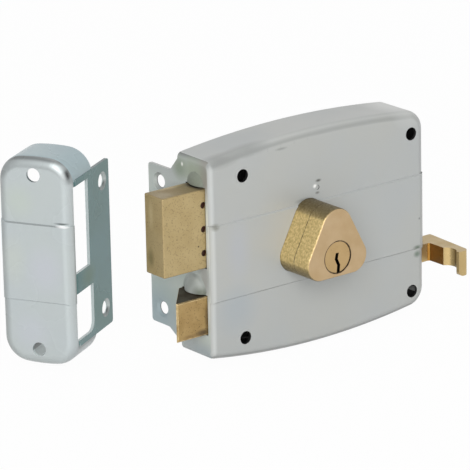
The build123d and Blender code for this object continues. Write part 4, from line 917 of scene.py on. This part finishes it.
def makeWorkingSpring(want):
    # a smooth copy of the spring, in its place, with a mesh of its own
    name = want["node"]
    mesh = mergedCopy(name)
    for face in mesh.faces:
        face.smooth = True
    piece = newPiece(name, mesh, [want["finish"]])
    standFor(piece, name)
    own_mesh(piece)


finishNode(pinSprings)
makeWorkingSpring(latchSpring)


# Studio, in metres

studio = {
    "floorSize": 6.0, "floorGap": 0.0005, "floorColour": (0.82, 0.82, 0.82), "floorRough": 0.9,
    "floorWhite": 0.97, "ambient": 0.40, "worldWhite": 1.0,
    "lamps": [
        {"name": "keySoftbox", "at": (-1.35, -1.8, 0.95), "size": 1.6, "power": 40},
        {"name": "topSoftbox", "at": (0.5, 0.6, 2.2), "size": 1.2, "power": 8},
    ],
}
photoCamera = {
    "at": (-1.11642, -1.40807, 0.57963), "yaw": 37.756, "pitch": 17.87, "roll": 1.195,
    "focalPixels": 3833.0, "framePixels": 470.0, "sensor": 36.0,
}


def mixWhite(tree, ordinary, plainWhite, share, target):
    # camera, glossy and transmission rays see plain white
    path = tree.nodes.new("ShaderNodeLightPath")
    either = path.outputs["Is Camera Ray"]
    for label in ("Is Glossy Ray", "Is Transmission Ray"):
        either = maths(tree, "MAXIMUM", either, path.outputs[label])
    mix = tree.nodes.new("ShaderNodeMixShader")
    feed(tree, mix.inputs["Fac"], times(tree, either, share))
    feed(tree, mix.inputs[1], ordinary)
    feed(tree, mix.inputs[2], plainWhite)
    feed(tree, target, mix.outputs["Shader"])


def makeWorld(want):
    # an even, soft light from all sides
    world = bpy.data.worlds.new("studioWorld")
    bpy.context.scene.world = world
    world.use_nodes = True
    tree = world.node_tree
    soft = tree.nodes["Background"]
    plainWhite = tree.nodes.new("ShaderNodeBackground")
    for light, strength in ((soft, want["ambient"]), (plainWhite, 1)):
        light.inputs["Color"].default_value = white
        light.inputs["Strength"].default_value = strength
    mixWhite(tree, soft.outputs["Background"], plainWhite.outputs["Background"], want["worldWhite"],
             tree.nodes["World Output"].inputs["Surface"])


def makeFloor(want, low):
    # one large square a little below the lowest point of the object
    size = want["floorSize"]
    mesh = bpy.data.meshes.new("floorShape")
    corners = [(-size, -size), (size, -size), (size, size), (-size, size)]
    mesh.from_pydata([(x, y, low - want["floorGap"]) for x, y in corners], [], [(0, 1, 2, 3)])
    floor = bpy.data.objects.new("floor", mesh)
    bpy.context.scene.collection.objects.link(floor)
    material = bpy.data.materials.new("paleFloor")
    material.use_nodes = True
    tree = material.node_tree
    matt = tree.nodes["Principled BSDF"]
    matt.inputs["Base Color"].default_value = rgba(want["floorColour"])
    matt.inputs["Roughness"].default_value = want["floorRough"]
    plainWhite = tree.nodes.new("ShaderNodeEmission")
    mixWhite(tree, matt.outputs["BSDF"], plainWhite.outputs["Emission"], want["floorWhite"],
             tree.nodes["Material Output"].inputs["Surface"])
    mesh.materials.append(material)


def makeLamp(want, target):
    # a square soft box, its face turned to the target
    light = bpy.data.lights.new(want["name"], "AREA")
    light.size = want["size"]
    light.energy = want["power"]
    lamp = bpy.data.objects.new(want["name"], light)
    bpy.context.scene.collection.objects.link(lamp)
    lamp.location = want["at"]
    lamp.rotation_euler = (Vector(want["at"]) - target).to_track_quat("Z", "Y").to_euler()


def makeCamera(want):
    # yaw turns the view from +Y towards +X, pitch looks down, roll tips the picture
    yaw, pitch, roll = (np.radians(want[k]) for k in ("yaw", "pitch", "roll"))
    ahead = Vector((np.sin(yaw) * np.cos(pitch), np.cos(yaw) * np.cos(pitch), -np.sin(pitch)))
    level = Vector((np.cos(yaw), -np.sin(yaw), 0))
    down = ahead.cross(level)
    across = level * np.cos(roll) + down * np.sin(roll)
    below = down * np.cos(roll) - level * np.sin(roll)
    lens = bpy.data.cameras.new("photoCamera")
    lens.sensor_width = want["sensor"]
    lens.lens = want["sensor"] * want["focalPixels"] / want["framePixels"]
    camera = bpy.data.objects.new("photoCamera", lens)
    bpy.context.scene.collection.objects.link(camera)
    turn = Matrix((across, -below, -ahead)).transposed()
    camera.matrix_world = Matrix.Translation(want["at"]) @ turn.to_4x4()
    bpy.context.scene.camera = camera


makeWorld(studio)
makeFloor(studio, cadBox[0][2])
for lamp in studio["lamps"]:
    makeLamp(lamp, (cadBox[0] + cadBox[1]) / 2)
makeCamera(photoCamera)
bpy.context.scene.view_settings.view_transform = "Standard"
print("studio set")
